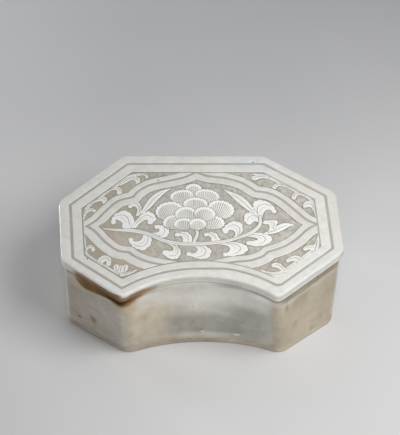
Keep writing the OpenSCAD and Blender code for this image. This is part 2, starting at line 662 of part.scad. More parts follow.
BACK_RIGHT_VINE = [[103.8, 5, 0.6], [102.6, 16, 1.2], [101.2, 25, 1.3], [97.4, 31.4, 1.3], [91, 36.4, 1.5],
                   [83, 42.4, 1.6], [74, 48.6, 1.7], [66, 54, 1.8], [58, 58, 1.8], [48, 60.2, 0.8]];
BACK_RIGHT_HOOKS = [
    [[[102.4, 16], [101, 24], [97.6, 28], [94.4, 27.4], [92, 24.4], [92.2, 20.6]],
     [[100.4, 17], [99.4, 20], [97, 21], [95.4, 20.8], [94, 20.6], [93, 20.3]]],
    [[[95, 34.4], [89, 38.6], [84.4, 37.8], [82.4, 34.4], [82.6, 30.4]],
     [[93.6, 33.4], [89, 35.4], [87, 34.4], [86.2, 32.2], [83.6, 30.2]]],
    [[[79, 45.2], [72.4, 48.6], [67.4, 48.4], [65.2, 45.4], [65, 41.6]],
     [[78, 43.8], [73, 45.8], [69.8, 45.6], [68.8, 43.8], [67, 41.8]]],
    [[[62.4, 57], [55, 58.8], [48.8, 58.4], [46, 56.2], [47.6, 53.6]],
     [[62, 54.8], [57, 55.4], [53.8, 55], [51.8, 53.6], [49.2, 52.8]]]
];
FRONT_LEFT_VINE = [[-103.4, -10, 0.5], [-102.4, -18, 1.2], [-101.6, -26, 1.4], [-99.4, -33, 1.2],
                   [-94.2, -37.8, 1], [-86.4, -43.8, 1], [-77.6, -50.4, 1], [-71.2, -55.3, 0.8]];
FRONT_LEFT_HOOKS = [
    [[[-101.4, -27], [-99, -22.6], [-95.8, -23], [-93.2, -26.4], [-93.8, -29.8]],
     [[-100.4, -29], [-98.6, -26], [-96.8, -26], [-95.6, -27.6], [-94.8, -29.6]]],
    [[[-89.6, -46.4], [-89.4, -40], [-87.6, -35.6], [-82.6, -35.4], [-79, -37.6], [-78.2, -41.4],
      [-79.4, -45]],
     [[-85.6, -48], [-85.2, -43], [-84, -40.4], [-82.4, -40.4], [-81.6, -42.2], [-81, -44.8]]],
    [[[-71, -54.6], [-75, -50.4], [-74.2, -45.8], [-71.8, -43]],
     [[-69.4, -54.6], [-69.4, -50], [-70, -46.6], [-71, -43.4]]],
    [[[-70.8, -54.6], [-70.2, -49.8], [-68.6, -46], [-64.8, -44]],
     [[-68.6, -54.6], [-67, -51], [-66.4, -48], [-64.6, -44.6]]]
];
FRONT_RIGHT_VINE = [[104.4, -10, 0.5], [103.4, -18, 1.3], [100.6, -27, 1.8], [95.6, -31.6, 1.8],
                    [88.6, -37.8, 1.5], [80, -45.2, 1.5], [72, -51.6, 1.4], [66, -55.4, 0.8]];
FRONT_RIGHT_HOOKS = [
    [[[103.6, -13.6], [101.2, -19], [99.4, -25], [97.6, -32]],
     [[104.8, -14], [104.4, -20], [103.4, -26], [100, -33]]],
    [[[99.8, -30], [97.8, -25.4], [94.6, -23.4], [91, -25]],
     [[97.6, -34], [94.6, -30.8], [92.6, -28.8], [90.6, -26.8]]],
    [[[90, -41], [86.6, -37], [82.6, -34.8], [78.6, -36.2], [75.4, -39.4], [75, -42.4]],
     [[87, -43.6], [83.8, -41.6], [81, -39.6], [79, -39.4], [77.6, -40.6], [76.2, -42.6]]],
    [[[75, -50.8], [71.6, -47.4], [69.6, -44.4], [65.6, -43.4], [62.4, -44.8]],
     [[70, -53], [67.6, -50.6], [66, -48], [64.6, -46.6], [62.8, -46]]]
];

module spray(vine, hooks) {
    as_slip() intersection() {
        union() {
            stalk(vine);
            for (edges = hooks) leaf(edges);
        }
        difference() {
            field();
            panel(frame_outer_back + half_line + fine_line_w, frame_outer_front + half_line + fine_line_w);
        }
    }
}

// The origin lies under the middle of the headrest, as its rounded corners leave it.
EDGE = rim_outline(0);
middle = [for (k = [0, 1]) let (along = [for (p = EDGE) p[k]]) (min(along) + max(along)) / 2];
module centred() {
    translate([-middle.x, -middle.y, 0]) children();
}

centred() base_slab();
centred() color(clay) wall(FRONT_RIGHT);  // front_wall
centred() color(clay) wall(FRONT_LEFT);  // front_left_wall
centred() color(clay) wall(LEFT_FRONT);  // left_end_wall
centred() color(clay) wall(LEFT_BACK);  // back_left_wall
centred() back_wall();
centred() color(clay) wall(BACK_RIGHT);  // back_right_wall
centred() color(clay) wall(RIGHT_BACK);  // right_end_wall
centred() color(clay) wall(RIGHT_FRONT);  // front_right_wall
centred() corner_coils();
centred() base_coil();
centred() headrest_luting();
centred() headrest_slab();
centred() wall_slip_coat();
centred() rim_slip_band();
centred() border_slip_band();
centred() frame_outer_band();
centred() frame_inner_band();
centred() peony_bloom();
centred() peony_stem();
centred() leaves(LEFT_LEAVES);  // left_leaf_scroll
centred() leaves(LOWER_LEAVES);  // lower_leaf_scroll
centred() leaves(RIGHT_LEAVES);  // right_leaf_scroll
centred() spray(BACK_LEFT_VINE, BACK_LEFT_HOOKS);  // back_left_spray
centred() spray(BACK_RIGHT_VINE, BACK_RIGHT_HOOKS);  // back_right_spray
centred() spray(FRONT_LEFT_VINE, FRONT_LEFT_HOOKS);  // front_left_spray
centred() spray(FRONT_RIGHT_VINE, FRONT_RIGHT_HOOKS);  // front_right_spray
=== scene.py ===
"""Looks of a slab-built ceramic pillow whose headrest is carved through white slip to a peony scroll.

Shapes are worked out in millimetres, seen from above with the front at -y, and put() turns them into metres.
"""

import bmesh
import bpy
import numpy as np
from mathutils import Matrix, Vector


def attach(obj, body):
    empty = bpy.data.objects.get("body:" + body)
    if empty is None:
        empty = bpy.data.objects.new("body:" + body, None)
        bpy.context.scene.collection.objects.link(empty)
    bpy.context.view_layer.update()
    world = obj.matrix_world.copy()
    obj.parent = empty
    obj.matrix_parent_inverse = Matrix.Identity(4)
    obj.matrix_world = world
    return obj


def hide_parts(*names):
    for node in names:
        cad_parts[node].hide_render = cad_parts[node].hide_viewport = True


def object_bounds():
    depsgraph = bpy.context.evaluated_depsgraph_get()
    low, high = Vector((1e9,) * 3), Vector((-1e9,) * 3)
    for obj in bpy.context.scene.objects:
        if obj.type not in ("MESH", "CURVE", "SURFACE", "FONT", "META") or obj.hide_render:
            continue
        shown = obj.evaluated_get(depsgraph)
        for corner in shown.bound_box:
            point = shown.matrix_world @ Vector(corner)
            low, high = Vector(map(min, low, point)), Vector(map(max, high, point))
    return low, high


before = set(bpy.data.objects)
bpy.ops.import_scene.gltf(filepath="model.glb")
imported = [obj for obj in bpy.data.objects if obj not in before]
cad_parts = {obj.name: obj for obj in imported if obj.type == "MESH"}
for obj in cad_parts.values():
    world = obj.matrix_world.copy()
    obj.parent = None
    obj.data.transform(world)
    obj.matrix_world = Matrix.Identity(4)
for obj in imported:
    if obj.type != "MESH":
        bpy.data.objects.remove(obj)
cad_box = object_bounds()

# ---- The clay as it was cut. Corners run clockwise from the front left, and edge i starts at corner i.
RIM = np.array([[-67.5, -82.5], [-121.5, -41.5], [-127.5, 26.5], [-70.5, 82.5],
                [59.5, 82.5], [123.5, 37.5], [127.5, -30.5], [67.5, -82.5]])
RIM_BOW = 24.0
FOOT = np.array([[-64.5, -76], [-120, -38.5], [-120, 25.5], [-61, 74],
                 [61, 74], [120, 25.5], [120, -38.5], [72.5, -76]])
FOOT_BOW = 13.5
HEADREST_HEIGHT = 88.0
HEADREST_T = 9.0
SLOPE = np.tan(np.radians(2.9))
EDGE_R = 2.1
OVERHANG = 3.5
BASE_T = 6.0
SLIP_T = 0.9
GROUND_LIFT = 0.4
COAT_T = 0.7
VENT_R = 3.0
VENT_HEIGHT = 52.0

# Lines of the border, as distances in from the rim edge by edge
LINE_W = 1.9
FINE_LINE_W = 0.9
DRIFT = np.array([1.9, 0, 0, 0, 1.3, 0, 1.3, 2.2])
LINE_IN = 9.5 - DRIFT
BORDER_OUT = LINE_IN + LINE_W
BORDER_IN = BORDER_OUT + np.array([7.1, 9, 9, 9, 7.7, 9, 5.8, 7.2])
FIELD_IN = BORDER_IN + FINE_LINE_W
# The fine line was left uncut along the front right edge, so the white there runs on into the vine.
FILLED_LINE = np.array([0, 0, 0, 0, 0, 0, 1.3, 0])

# The edges of the slip at the lines have worn back by this much
WORN = 0.22

# How far from each corner its rounding starts, at the edge and at least
CORNER_TURN = np.array([7, 4.8, 7, 4.2, 4.2, 4.8, 7, 7])
LEAST_TURN = np.array([1.2, 1.2, 1.2, 1.2, 1.2, 1.2, 1.2, 7])
# How much of that an inset takes off, and how much more past a deep inset
TURN_LOSS = 0.3
DEEP = 4.0
DEEP_LOSS = 0.6
# Where along x the broad line strays
STRAY_X = (2, 28)

# Points round each corner, along each straight edge and along the hollow front
CORNER_N = 13
EDGE_N = 60
BOW_N = 120


def unit(v):
    return v / np.linalg.norm(v)


def cross2(a, b):
    return a[..., 0] * b[..., 1] - a[..., 1] * b[..., 0]


def inward(a, b):
    d = unit(b - a)
    return np.array([d[1], -d[0]])


def smooth(low, high, x):
    """Rises from 0 at low to 1 at high along a cubic with level ends."""
    t = np.clip((x - low) / (high - low), 0, 1)
    return t * t * (3 - 2 * t)


def bell(x, middle, width):
    """1 at the middle, falling to both sides along a bell curve."""
    return np.exp(-((x - middle) / width) ** 2)


def closed(loop):
    """The loop with its first point once more at the end."""
    return np.concatenate([loop, loop[:1]])


def along(line):
    """Length of a polyline from its start to each of its points."""
    return np.concatenate([[0], np.cumsum(np.linalg.norm(np.diff(line, axis=0), axis=1))])


def bow_circle(c, bow):
    """Centre and radius of the arc that rises by bow between the two front corners."""
    half = (c[7, 0] - c[0, 0]) / 2
    r = (half ** 2 + bow ** 2) / (2 * bow)
    return np.array([(c[0, 0] + c[7, 0]) / 2, c[0, 1] + bow - r]), r


def on_circle(p, d, q, r):
    """Where the line from p along d meets the circle of radius r about q, nearest to p."""
    w = p - q
    b = w @ d
    h = np.sqrt(max(0.0, b * b - w @ w + r * r))
    return p + d * (h - b if abs(h - b) < abs(h + b) else -h - b)


def corner_in(c, bow, i, ins):
    """Corner i after each edge has moved in by its own inset: the meeting of its two moved edges."""
    mid, r = bow_circle(c, bow)
    if i == 0:
        return on_circle(c[0] + inward(c[0], c[1]) * ins[0], unit(c[1] - c[0]), mid, r + ins[7])
    if i == 7:
        return on_circle(c[7] + inward(c[6], c[7]) * ins[6], unit(c[7] - c[6]), mid, r + ins[7])
    d, e = c[i] - c[i - 1], c[i + 1] - c[i]
    p, q = c[i] + inward(c[i - 1], c[i]) * ins[i - 1], c[i] + inward(c[i], c[i + 1]) * ins[i]
    return p + d * cross2(q - p, e) / cross2(d, e)


def outline(c, bow, ins):
    """The outline moved in: each corner is a quadratic curve between its edges, the front an arc."""
    ins = np.broadcast_to(ins, 8).astype(float)
    turns = np.maximum(LEAST_TURN, CORNER_TURN - TURN_LOSS * ins[1] - DEEP_LOSS * max(0, ins[1] - DEEP))
    mid, r = bow_circle(c, bow)
    r += ins[7]

    def angle(p):
        return np.arctan2(p[1] - mid[1], p[0] - mid[0])

    def on_bow(a):
        return mid + r * np.stack([np.cos(a), np.sin(a)], -1)

    t = np.linspace(0, 1, CORNER_N)[:, None]
    corners = []
    for i, turn in enumerate(turns):
        p = corner_in(c, bow, i, ins)
        a = on_bow(angle(p) - turn / r) if i == 0 else p - unit(c[i] - c[i - 1]) * turn
        b = on_bow(angle(p) + turn / r) if i == 7 else p + unit(c[i + 1] - c[i]) * turn
        corners.append((1 - t) ** 2 * a + 2 * t * (1 - t) * p + t * t * b)
    t = np.linspace(0, 1, EDGE_N + 1)[1:-1, None]
    runs = []
    for a, b in zip(corners, corners[1:]):
        runs += [a, a[-1] + (b[0] - a[-1]) * t]
    sweep = np.linspace(angle(corners[7][-1]), angle(corners[0][0]), BOW_N + 1)[1:-1]
    return np.concatenate(runs + [corners[7], on_bow(sweep)])


def rim_outline(ins):
    return outline(RIM, RIM_BOW, ins)


def foot_outline(ins):
    return outline(FOOT, FOOT_BOW, ins)


def strayed(loop, share):
    """The loop with the broad line's stray: along the right part of the front it lies further from the edge."""
    middle, _ = bow_circle(RIM, RIM_BOW)
    way = loop - middle
    way /= np.linalg.norm(way, axis=1)[:, None]
    turn = np.zeros(LOOP_N)
    turn[-BOW_N + 1:] = 1
    turn[-BOW_N + 1 - CORNER_N:-BOW_N + 1] = np.linspace(0, 1, CORNER_N)
    return loop + way * (share * DRIFT[7] * turn * smooth(*STRAY_X, loop[:, 0]))[:, None]


LOOP_N = 8 * CORNER_N + 7 * (EDGE_N - 1) + BOW_N - 1
EDGE = rim_outline(0)
MIDDLE = (EDGE.min(0) + EDGE.max(0)) / 2


def face_z(p):
    """Height of the headrest's face, a plane that falls towards the front."""
    return HEADREST_HEIGHT + p[..., 1] * SLOPE


def on_face(p, lift):
    return np.concatenate([p, (face_z(p) + lift)[..., None]], -1)


rng = np.random.default_rng(7)


def ripples(count, shortest, longest):
    """Random plane waves, as wave vectors and phases, for hand-made unevenness."""
    length = rng.uniform(shortest, longest, count)
    heading = rng.uniform(0, 2 * np.pi, count)
    waves = 2 * np.pi / length[:, None] * np.stack([np.cos(heading), np.sin(heading)], -1)
    return waves, rng.uniform(0, 2 * np.pi, count)


def uneven(p, waves, phases):
    """Mean of the plane waves at each point, between -1 and 1."""
    return np.sin(p @ waves.T + phases).mean(-1)


# ---- Meshes
def grid_faces(rows, cols, wrap_rows=False):
    """Quads of a grid whose columns close on themselves, and whose rows do so too if asked."""
    k = np.arange(rows if wrap_rows else rows - 1)[:, None]
    i = np.arange(cols)[None]
    up, nxt = (k + 1) % rows, (i + 1) % cols
    return np.stack([k * cols + i, k * cols + nxt, up * cols + nxt, up * cols + i], -1).reshape(-1, 4)


# Points this close, in metres, are one
MERGED = 2e-6
SLIVER = 1e-6


def put(name, node, slot, material, points, faces, sharp=40, **marks):
    """Makes a closed piece in metres from points and quads, with a value per point for each mark."""
    mesh = bpy.data.meshes.new(name)
    metres = (points - np.array([MIDDLE[0], MIDDLE[1], 0])) / 1000
    mesh.vertices.add(len(points))
    mesh.vertices.foreach_set("co", metres.astype(np.float32).ravel())
    mesh.loops.add(faces.size)
    mesh.loops.foreach_set("vertex_index", faces.astype(np.int32).ravel())
    mesh.polygons.add(len(faces))
    mesh.polygons.foreach_set("loop_start", np.arange(0, faces.size, 4, dtype=np.int32))
    mesh.update(calc_edges=True)
    for mark, values in marks.items():
        layer = mesh.attributes.new(mark, "FLOAT", "POINT")
        layer.data.foreach_set("value", np.asarray(values, np.float32).ravel())
    shell = bmesh.new()
    shell.from_mesh(mesh)
    bmesh.ops.remove_doubles(shell, verts=shell.verts[:], dist=MERGED)
    bmesh.ops.dissolve_degenerate(shell, edges=shell.edges[:], dist=SLIVER)
    bmesh.ops.recalc_face_normals(shell, faces=shell.faces[:])
    shell.to_mesh(mesh)
    shell.free()
    mesh.polygons.foreach_set("use_smooth", np.ones(len(mesh.polygons), bool))
    mesh.set_sharp_from_angle(angle=np.radians(sharp))
    mesh.materials.append(material)
    piece = bpy.data.objects.new(name, mesh)
    bpy.context.scene.collection.objects.link(piece)
    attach(piece, "root")
    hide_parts(node)


# ---- Distances over the carved face, positive inside a shape
# Distances worked out at a time, the least length of a step, and the depth of a place that is far outside
BLOCK = 3_000_000
TINY = 1e-12
OUTSIDE = -9.0


def blocks(count, each):
    return np.array_split(np.arange(count), count * each // BLOCK + 1)


def nearest(points, line):
    """Distance from each point to a polyline, and the place of its nearest point in steps along it."""
    a, d = line[:-1], np.diff(line, axis=0)
    size = np.maximum((d ** 2).sum(1), TINY)
    far, place = np.empty(len(points)), np.empty(len(points))
    for part in blocks(len(points), len(a)):
        w = points[part, None] - a
        t = np.clip((w * d).sum(-1) / size, 0, 1)
        gap = ((w - t[..., None] * d) ** 2).sum(-1)
        k = gap.argmin(1)
        row = np.arange(len(part))
        far[part], place[part] = np.sqrt(gap[row, k]), k + t[row, k]
    return far, place


def inside(points, loop):
    """Whether a line from each point towards +x crosses the closed loop an odd number of times."""
    a, b = loop, np.roll(loop, -1, 0)
    rise = np.where(b[:, 1] == a[:, 1], TINY, b[:, 1] - a[:, 1])
    odd = np.empty(len(points), bool)
    for part in blocks(len(points), len(a)):
        x, y = points[part, 0, None], points[part, 1, None]
        at = a[:, 0] + (y - a[:, 1]) * (b[:, 0] - a[:, 0]) / rise
        odd[part] = (((a[:, 1] > y) != (b[:, 1] > y)) & (x < at)).sum(1) % 2 == 1
    return odd


def loop_depth(points, loop):
    """Signed distance to a closed loop."""
    far, _ = nearest(points, closed(loop))
    return np.where(inside(points, loop), far, -far)


def near_box(points, shape, room):
    """Which points lie within room of a shape's box."""
    return ((points > shape.min(0) - room) & (points < shape.max(0) + room)).all(1)


def through(points, steps):
    """Catmull-Rom curve through the points: a cubic per span, from its two ends and their neighbours."""
    p = np.asarray(points, float)
    p = np.concatenate([p[:1], p, p[-1:]])
    t = np.linspace(0, 1, steps, endpoint=False)[None, :, None]
    a, b, c, d = p[:-3, None], p[1:-2, None], p[2:-1, None], p[3:, None]
    spans = b + ((c - a) * t + (2 * a - 5 * b + 4 * c - d) * t ** 2 + (3 * b - a - 3 * c + d) * t ** 3) / 2
    return np.concatenate([spans.reshape(-1, p.shape[1]), p[-1:]])


def evenly(line, count):
    """The polyline at count places an equal length apart."""
    run = along(line)
    at = np.linspace(0, run[-1], count)
    return np.stack([np.interp(at, run, line[:, k]) for k in range(2)], -1)


# The pattern was drawn round this middle, and sits a little larger on the face.
DRAWN_MIDDLE = np.array([-0.6, 1.0])
PATTERN_SCALE = np.array([1.0019, 1.0033])


def placed(points):
    p = np.array(points, float)
    p[:, :2] = (p[:, :2] - DRAWN_MIDDLE) * PATTERN_SCALE
    return p


# The panel's lobed line, clockwise through lobes that meet in points
PANEL_LOBES = [
    [[-4, 63], [6, 58.2], [22, 55.5], [37, 50], [50, 39.8]],
    [[50, 39.8], [62, 37.2], [74, 28.8], [86, 15.5], [95, 5.8], [104, 1]],
    [[104, 1], [95, -4.5], [85, -15.5], [73, -24.5], [59, -30.5]],
    [[59, -30.5], [54, -35.5], [43, -40], [28, -42], [10, -47]],
    [[10, -47], [-18, -48]],
    [[-18, -48], [-33, -44.8], [-46, -41.6], [-57, -36], [-63, -30.8]],
    [[-63, -30.8], [-73, -28.8], [-84, -19.5], [-94, -7], [-101, -1.3]],
    [[-101, -1.3], [-93, 5.5], [-84, 17.5], [-74, 28], [-61, 32.8]],
    [[-61, 32.8], [-56, 40], [-45, 47.6], [-28, 52.5], [-14, 57], [-4, 63]],
]
LOBES = [through(placed(lobe), 9) for lobe in PANEL_LOBES]
LOBE_LOOP = np.concatenate([lobe[:-1] for lobe in LOBES])
FRAME_OUTER = (5.2, 7.8)
FRAME_INNER = (6.8, 5.2)


def panel_depth(points):
    """Signed distance to the lobed line. Past a point of the line, the greater distance to its two tangents
    takes over, so that moved lines keep the point."""
    far, _ = nearest(points, closed(LOBE_LOOP))
    for before, after in zip(LOBES[-1:] + LOBES[:-1], LOBES):
        tip = after[0]
        w = points - tip
        at_tip = np.linalg.norm(w, axis=1) <= far + 1e-9
        tangents = [unit(before[-1] - before[-2]), unit(after[1] - after[0])]
        mitred = np.max([np.abs(cross2(np.broadcast_to(d, w.shape), w)) for d in tangents], axis=0)
        far = np.where(at_tip, mitred, far)
    return np.where(inside(points, LOBE_LOOP), far, -far)


def band_width(points, widths):
    """A frame band's width: one value along the back, another along the front, eased into each other."""
    return widths[1] + (widths[0] - widths[1]) * smooth(-3, 3, points[:, 1])


def field_depth(points):
    """Distance in from the field's edges: the nearest of seven straight edges and the front arc."""
    depth = []
    for i in range(7):
        n = inward(RIM[i], RIM[i + 1])
        depth.append((points - RIM[i]) @ n - FIELD_IN[i])
    mid, r = bow_circle(RIM, RIM_BOW)
    depth.append(np.linalg.norm(points - mid, axis=1) - r - FIELD_IN[7])
    return np.min(depth, axis=0)


def ground_depth(points):
    """Distance in from the edges of the ground that the scroll stands in."""
    inner = panel_depth(points) - LINE_W / 2 - band_width(points, FRAME_INNER)
    return np.minimum(inner, field_depth(points))


def stalk_depth(points, line):
    """Half width of a stalk at the nearest place of its middle line, less the distance to that line."""
    path = through(placed(line), 8)
    far, place = nearest(points, path[:, :2])
    return np.interp(place, np.arange(len(path)), path[:, 2]) - far


# The share of a cut's length over which it fades in and out, and the width of the cut round a shape
CUT_FADE = 0.25
PARTED_W = 0.5


class Carving:
    """The depth of a slip shape over points of the face, with its cut lines and how thick and white it lies."""

    def __init__(self, points, thick=0.0):
        self.points = points
        self.thick = np.full(len(points), thick)
        self.depth = np.full(len(points), OUTSIDE)
        self.cut = np.zeros(len(points))
        self.rise = np.zeros(len(points))

    def incise(self, line, width, strength):
        """A cut along a polyline: a bell curve of the distance to it, weaker towards its ends."""
        on = np.flatnonzero(near_box(self.points, line, 4 * width))
        far, place = nearest(self.points[on], line)
        end = np.minimum(place, len(line) - 1 - place) / (len(line) - 1)
        groove = bell(far, 0, width) * smooth(0, CUT_FADE, end + 0.02) * strength
        self.cut[on] = np.maximum(self.cut[on], groove)

    def add(self, depth, parted=True):
        """Joins a shape on top: its edge leaves a cut in what lies under it."""
        if parted:
            edge = bell(np.minimum(depth, 0), 0, PARTED_W) * (self.depth > 0.3) * (depth < 0)
            self.cut = np.where(depth > 0, 0, np.maximum(self.cut, edge))
        self.depth = np.maximum(self.depth, depth)

    def keep(self, depth):
        """Keeps only what lies within another shape."""
        self.depth = np.minimum(self.depth, depth)


# A slip shape's edge: its upright share, the width of its quarter round and how dark it shows, the depth of the cut
# lines, the unevenness of its top, and how far its underside is sunk into the ground
UPRIGHT = 0.4
ROUNDED = 0.54
ROUND_W = 0.7
EDGE_CUT = 0.35
CUT_DEPTH = 0.9
SLIP_ROUGH = 0.04
SUNK = 0.15


def relief(name, node, carve, box, step):
    """A carved slip piece: its top is a height over a fine grid, with the grid's border moved on to the shape's
    edge. The height is a short wall and a quarter round near the edge, less the cut lines. A flat underside
    and upright walls close it."""
    xs, ys = np.arange(box[0], box[1], step), np.arange(box[2], box[3], step)
    X, Y = np.meshgrid(xs, ys)
    points = np.stack([X.ravel(), Y.ravel()], -1)
    shape = carve(points)
    depth = shape.depth.reshape(X.shape)
    gy, gx = np.gradient(depth, step)
    size = np.maximum(np.hypot(gx, gy), 0.4)
    near = np.abs(depth) < 0.75 * step
    move = np.where(near, depth / size, 0)
    X, Y = X - move * gx / size, Y - move * gy / size
    depth = np.where(near, 0, depth)
    used = depth >= 0
    quad = used[:-1, :-1] & used[1:, :-1] & used[:-1, 1:] & used[1:, 1:]
    index = np.arange(X.size).reshape(X.shape)
    faces = np.stack([index[:-1, :-1], index[:-1, 1:], index[1:, 1:], index[1:, :-1]], -1)[quad]
    keep = np.unique(faces)
    faces = np.searchsorted(keep, faces)
    flat = np.stack([X.ravel(), Y.ravel()], -1)[keep]
    depth, cut = depth.ravel()[keep], shape.cut[keep]
    round_off = np.sqrt(1 - (1 - np.clip(depth / ROUND_W, 0, 1)) ** 2)
    lift = GROUND_LIFT + (SLIP_T - GROUND_LIFT) * (UPRIGHT + ROUNDED * round_off - CUT_DEPTH * cut)
    lift = lift + SLIP_ROUGH * uneven(flat, *SLIP_RIPPLES) + shape.rise[keep]
    lift = np.clip(lift, GROUND_LIFT - 0.05, SLIP_T)
    cut = np.maximum(cut, EDGE_CUT * (depth == 0))
    count = len(flat)
    edges = np.concatenate([faces[:, [k, (k + 1) % 4]] for k in range(4)])
    key = np.sort(edges, 1)
    _, first, times = np.unique(key[:, 0] * count + key[:, 1], return_index=True, return_counts=True)
    rim = edges[first[times == 1]]
    walls = np.stack([rim[:, 1], rim[:, 0], rim[:, 0] + count, rim[:, 1] + count], -1)
    solid = np.concatenate([on_face(flat, lift), on_face(flat, GROUND_LIFT - SUNK)])
    quads = np.concatenate([faces, faces[:, ::-1] + count, walls])
    put(name, node, "white_slip", WHITE_SLIP, solid, quads, sharp=50, thick=np.tile(shape.thick[keep], 2),
        cut=np.concatenate([cut, np.full(count, 0.9)]), stain=np.zeros(2 * count))


SLIP_RIPPLES = ripples(9, 7, 40)
GROUND_RIPPLES = ripples(14, 4, 14)
WALL_RIPPLES = ripples(9, 30, 110)

# ---- Finishes
STAIN_MATT = (0.85, 0.85, 0.85)
# Colour of the painted shade in the crease under the rim, and of a few dark marks
CREASE_SHADE_AND_DIRT = (0.085, 0.078, 0.062)
BUFF_DARK, BUFF, BUFF_LIGHT = (0.425, 0.36, 0.25), (0.525, 0.455, 0.345), (0.58, 0.51, 0.405)


class Finish:
    """A material whose colour is built up in layers, all on Object coordinates or on the piece's own marks."""

    def __init__(self, name):
        self.material = bpy.data.materials.new(name)
        self.material.use_nodes = True
        self.tree = self.material.node_tree
        self.shader = self.tree.nodes["Principled BSDF"]
        self.coords = self.node("TexCoord").outputs["Object"]
        self.colour = None

    def node(self, kind, **inputs):
        """A node of a kind, with a number, colour or link for each of its named inputs."""
        node = self.tree.nodes.new("ShaderNode" + kind)
        for name, value in inputs.items():
            self.feed(value, node.inputs[name])
        return node

    def feed(self, value, socket):
        if isinstance(value, bpy.types.NodeSocket):
            self.tree.links.new(value, socket)
        else:
            socket.default_value = (*value, 1) if socket.type == "RGBA" else value

    def noise(self, scale, detail, rough=0.55, stretch=None):
        at = self.node("Mapping", Vector=self.coords, Scale=stretch).outputs["Vector"] if stretch else self.coords
        return self.node("TexNoise", Vector=at, Scale=scale, Detail=detail, Roughness=rough).outputs["Fac"]

    def ramp(self, value, *stops):
        """Colours or greys by value: stops are (place, colour) with colours as triples or single greys."""
        node = self.node("ValToRGB", Fac=value)
        band = node.color_ramp
        while len(band.elements) < len(stops):
            band.elements.new(1.0)
        for element, (place, colour) in zip(band.elements, stops):
            element.position = place
            element.color = (*colour, 1) if isinstance(colour, tuple) else (colour, colour, colour, 1)
        return node.outputs["Color"]

    def patches(self, scale, detail, *stops):
        """A ramp over noise: colours or greys in patches."""
        return self.ramp(self.noise(scale, detail), *stops)

    def mix(self, share, a, b, blend="MIX"):
        node = self.node("Mix")
        node.data_type = "RGBA"
        node.blend_type = blend
        for value, place in ((share, 0), (a, 6), (b, 7)):
            self.feed(value, node.inputs[place])
        return node.outputs[2]

    def lay(self, share, colour, blend="MIX"):
        """Puts a colour over what is there. Its share is a number, a link or the name of a mark."""
        share = self.mark(share) if isinstance(share, str) else share
        self.colour = self.mix(share, self.colour, colour, blend)

    def math(self, operation, *values, clamp=False):
        node = self.node("Math")
        node.operation = operation
        node.use_clamp = clamp
        for value, socket in zip(values, node.inputs):
            self.feed(value, socket)
        return node.outputs[0]

    def times(self, a, b):
        return self.math("MULTIPLY", a, b)

    def most(self, first, *rest):
        for value in rest:
            first = self.math("MAXIMUM", first, value)
        return first

    def mark(self, name):
        node = self.node("Attribute")
        node.attribute_name = name
        return node.outputs["Fac"]

    def vector(self, operation, *values):
        node = self.node("VectorMath")
        node.operation = operation
        for value, socket in zip(values, node.inputs):
            self.feed(value, socket)
        return node.outputs["Value" if operation == "LENGTH" else "Vector"]

    def spot(self, place, radius, stretch=1.0):
        """1 at a place given in millimetres, falling to 0 at the radius, longer upright by stretch."""
        away = self.vector("SUBTRACT", self.coords, tuple(v / 1000 for v in place))
        away = self.vector("MULTIPLY", away, (1, 1, 1 / stretch))
        share = self.math("DIVIDE", self.vector("LENGTH", away), radius / 1000)
        return self.math("SUBTRACT", 1.0, share, clamp=True)

    def bump(self, height, strength, distance):
        node = self.node("Bump", Height=height, Strength=strength, Distance=distance)
        self.feed(node.outputs["Normal"], self.shader.inputs["Normal"])

    def set(self, **values):
        """The finished material: its colour, and values for the shader's own sockets."""
        for name, value in dict(Base_Color=self.colour, **values).items():
            self.feed(value, self.shader.inputs[name.replace("_", " ")])
        return self.material


# Pinholes in the glaze of the face, as places from the middle of the pillow
PINHOLES = [[48.8, 72.5], [-16.8, -16.7], [-37.8, 50.6], [-98.3, -40.8], [63.1, 11], [-39.9, -29]]
PINHOLE_R = 1.0


def pinholes(f):
    """Dark pinholes where the glaze drew back, each a small round spot on the face."""
    heights = [HEADREST_HEIGHT + SLIP_T + SLOPE * (y + MIDDLE[1]) for _, y in PINHOLES]
    dark = f.most(0.0, *(f.spot((x, y, z), PINHOLE_R) for (x, y), z in zip(PINHOLES, heights)))
    f.lay(f.ramp(dark, (0.1, 0.0), (0.5, 0.85)), (0.07, 0.06, 0.045))


def wear_and_crease_shade(f, strength):
    """Wear and painted shade that the slip and the walls share: bare body, painted shade in the crease under the rim
    with a few dark marks, and a brown stain, ragged where its mark fades.
    """
    f.lay("bare", f.patches(80, 4, (0.3, (0.25, 0.215, 0.14)), (0.7, (0.36, 0.32, 0.235))))
    # Painted shade in the crease under the rim, and a few dark marks
    f.lay("dirt", CREASE_SHADE_AND_DIRT)
    stain = f.mark("stain")
    ragged = f.math("MULTIPLY_ADD", f.noise(70, 4), 0.5, -0.25)
    amount = f.math("ADD", stain, f.times(ragged, f.ramp(stain, (0, 0.0), (0.2, 1.0))))
    brown = f.ramp(amount, (0.1, (0.37, 0.25, 0.13)), (0.42, (0.215, 0.12, 0.05)), (0.9, (0.034, 0.021, 0.007)))
    f.lay(f.times(f.ramp(amount, (0.04, 0.0), (0.34, 1.0)), strength), brown)


def glazed(f, scale, rough, coat, clear, **values):
    """Uneven gloss, rough in patches between two values. The stain dulls it, and takes off the clear coat."""
    stain = f.mark("stain")
    patches = f.patches(scale, 3, (0.3, rough[0]), (0.7, rough[1]))
    return f.set(Roughness=f.mix(stain, patches, STAIN_MATT),
                 Coat_Weight=f.ramp(stain, (0.05, coat), (clear, 0.0)), **values)


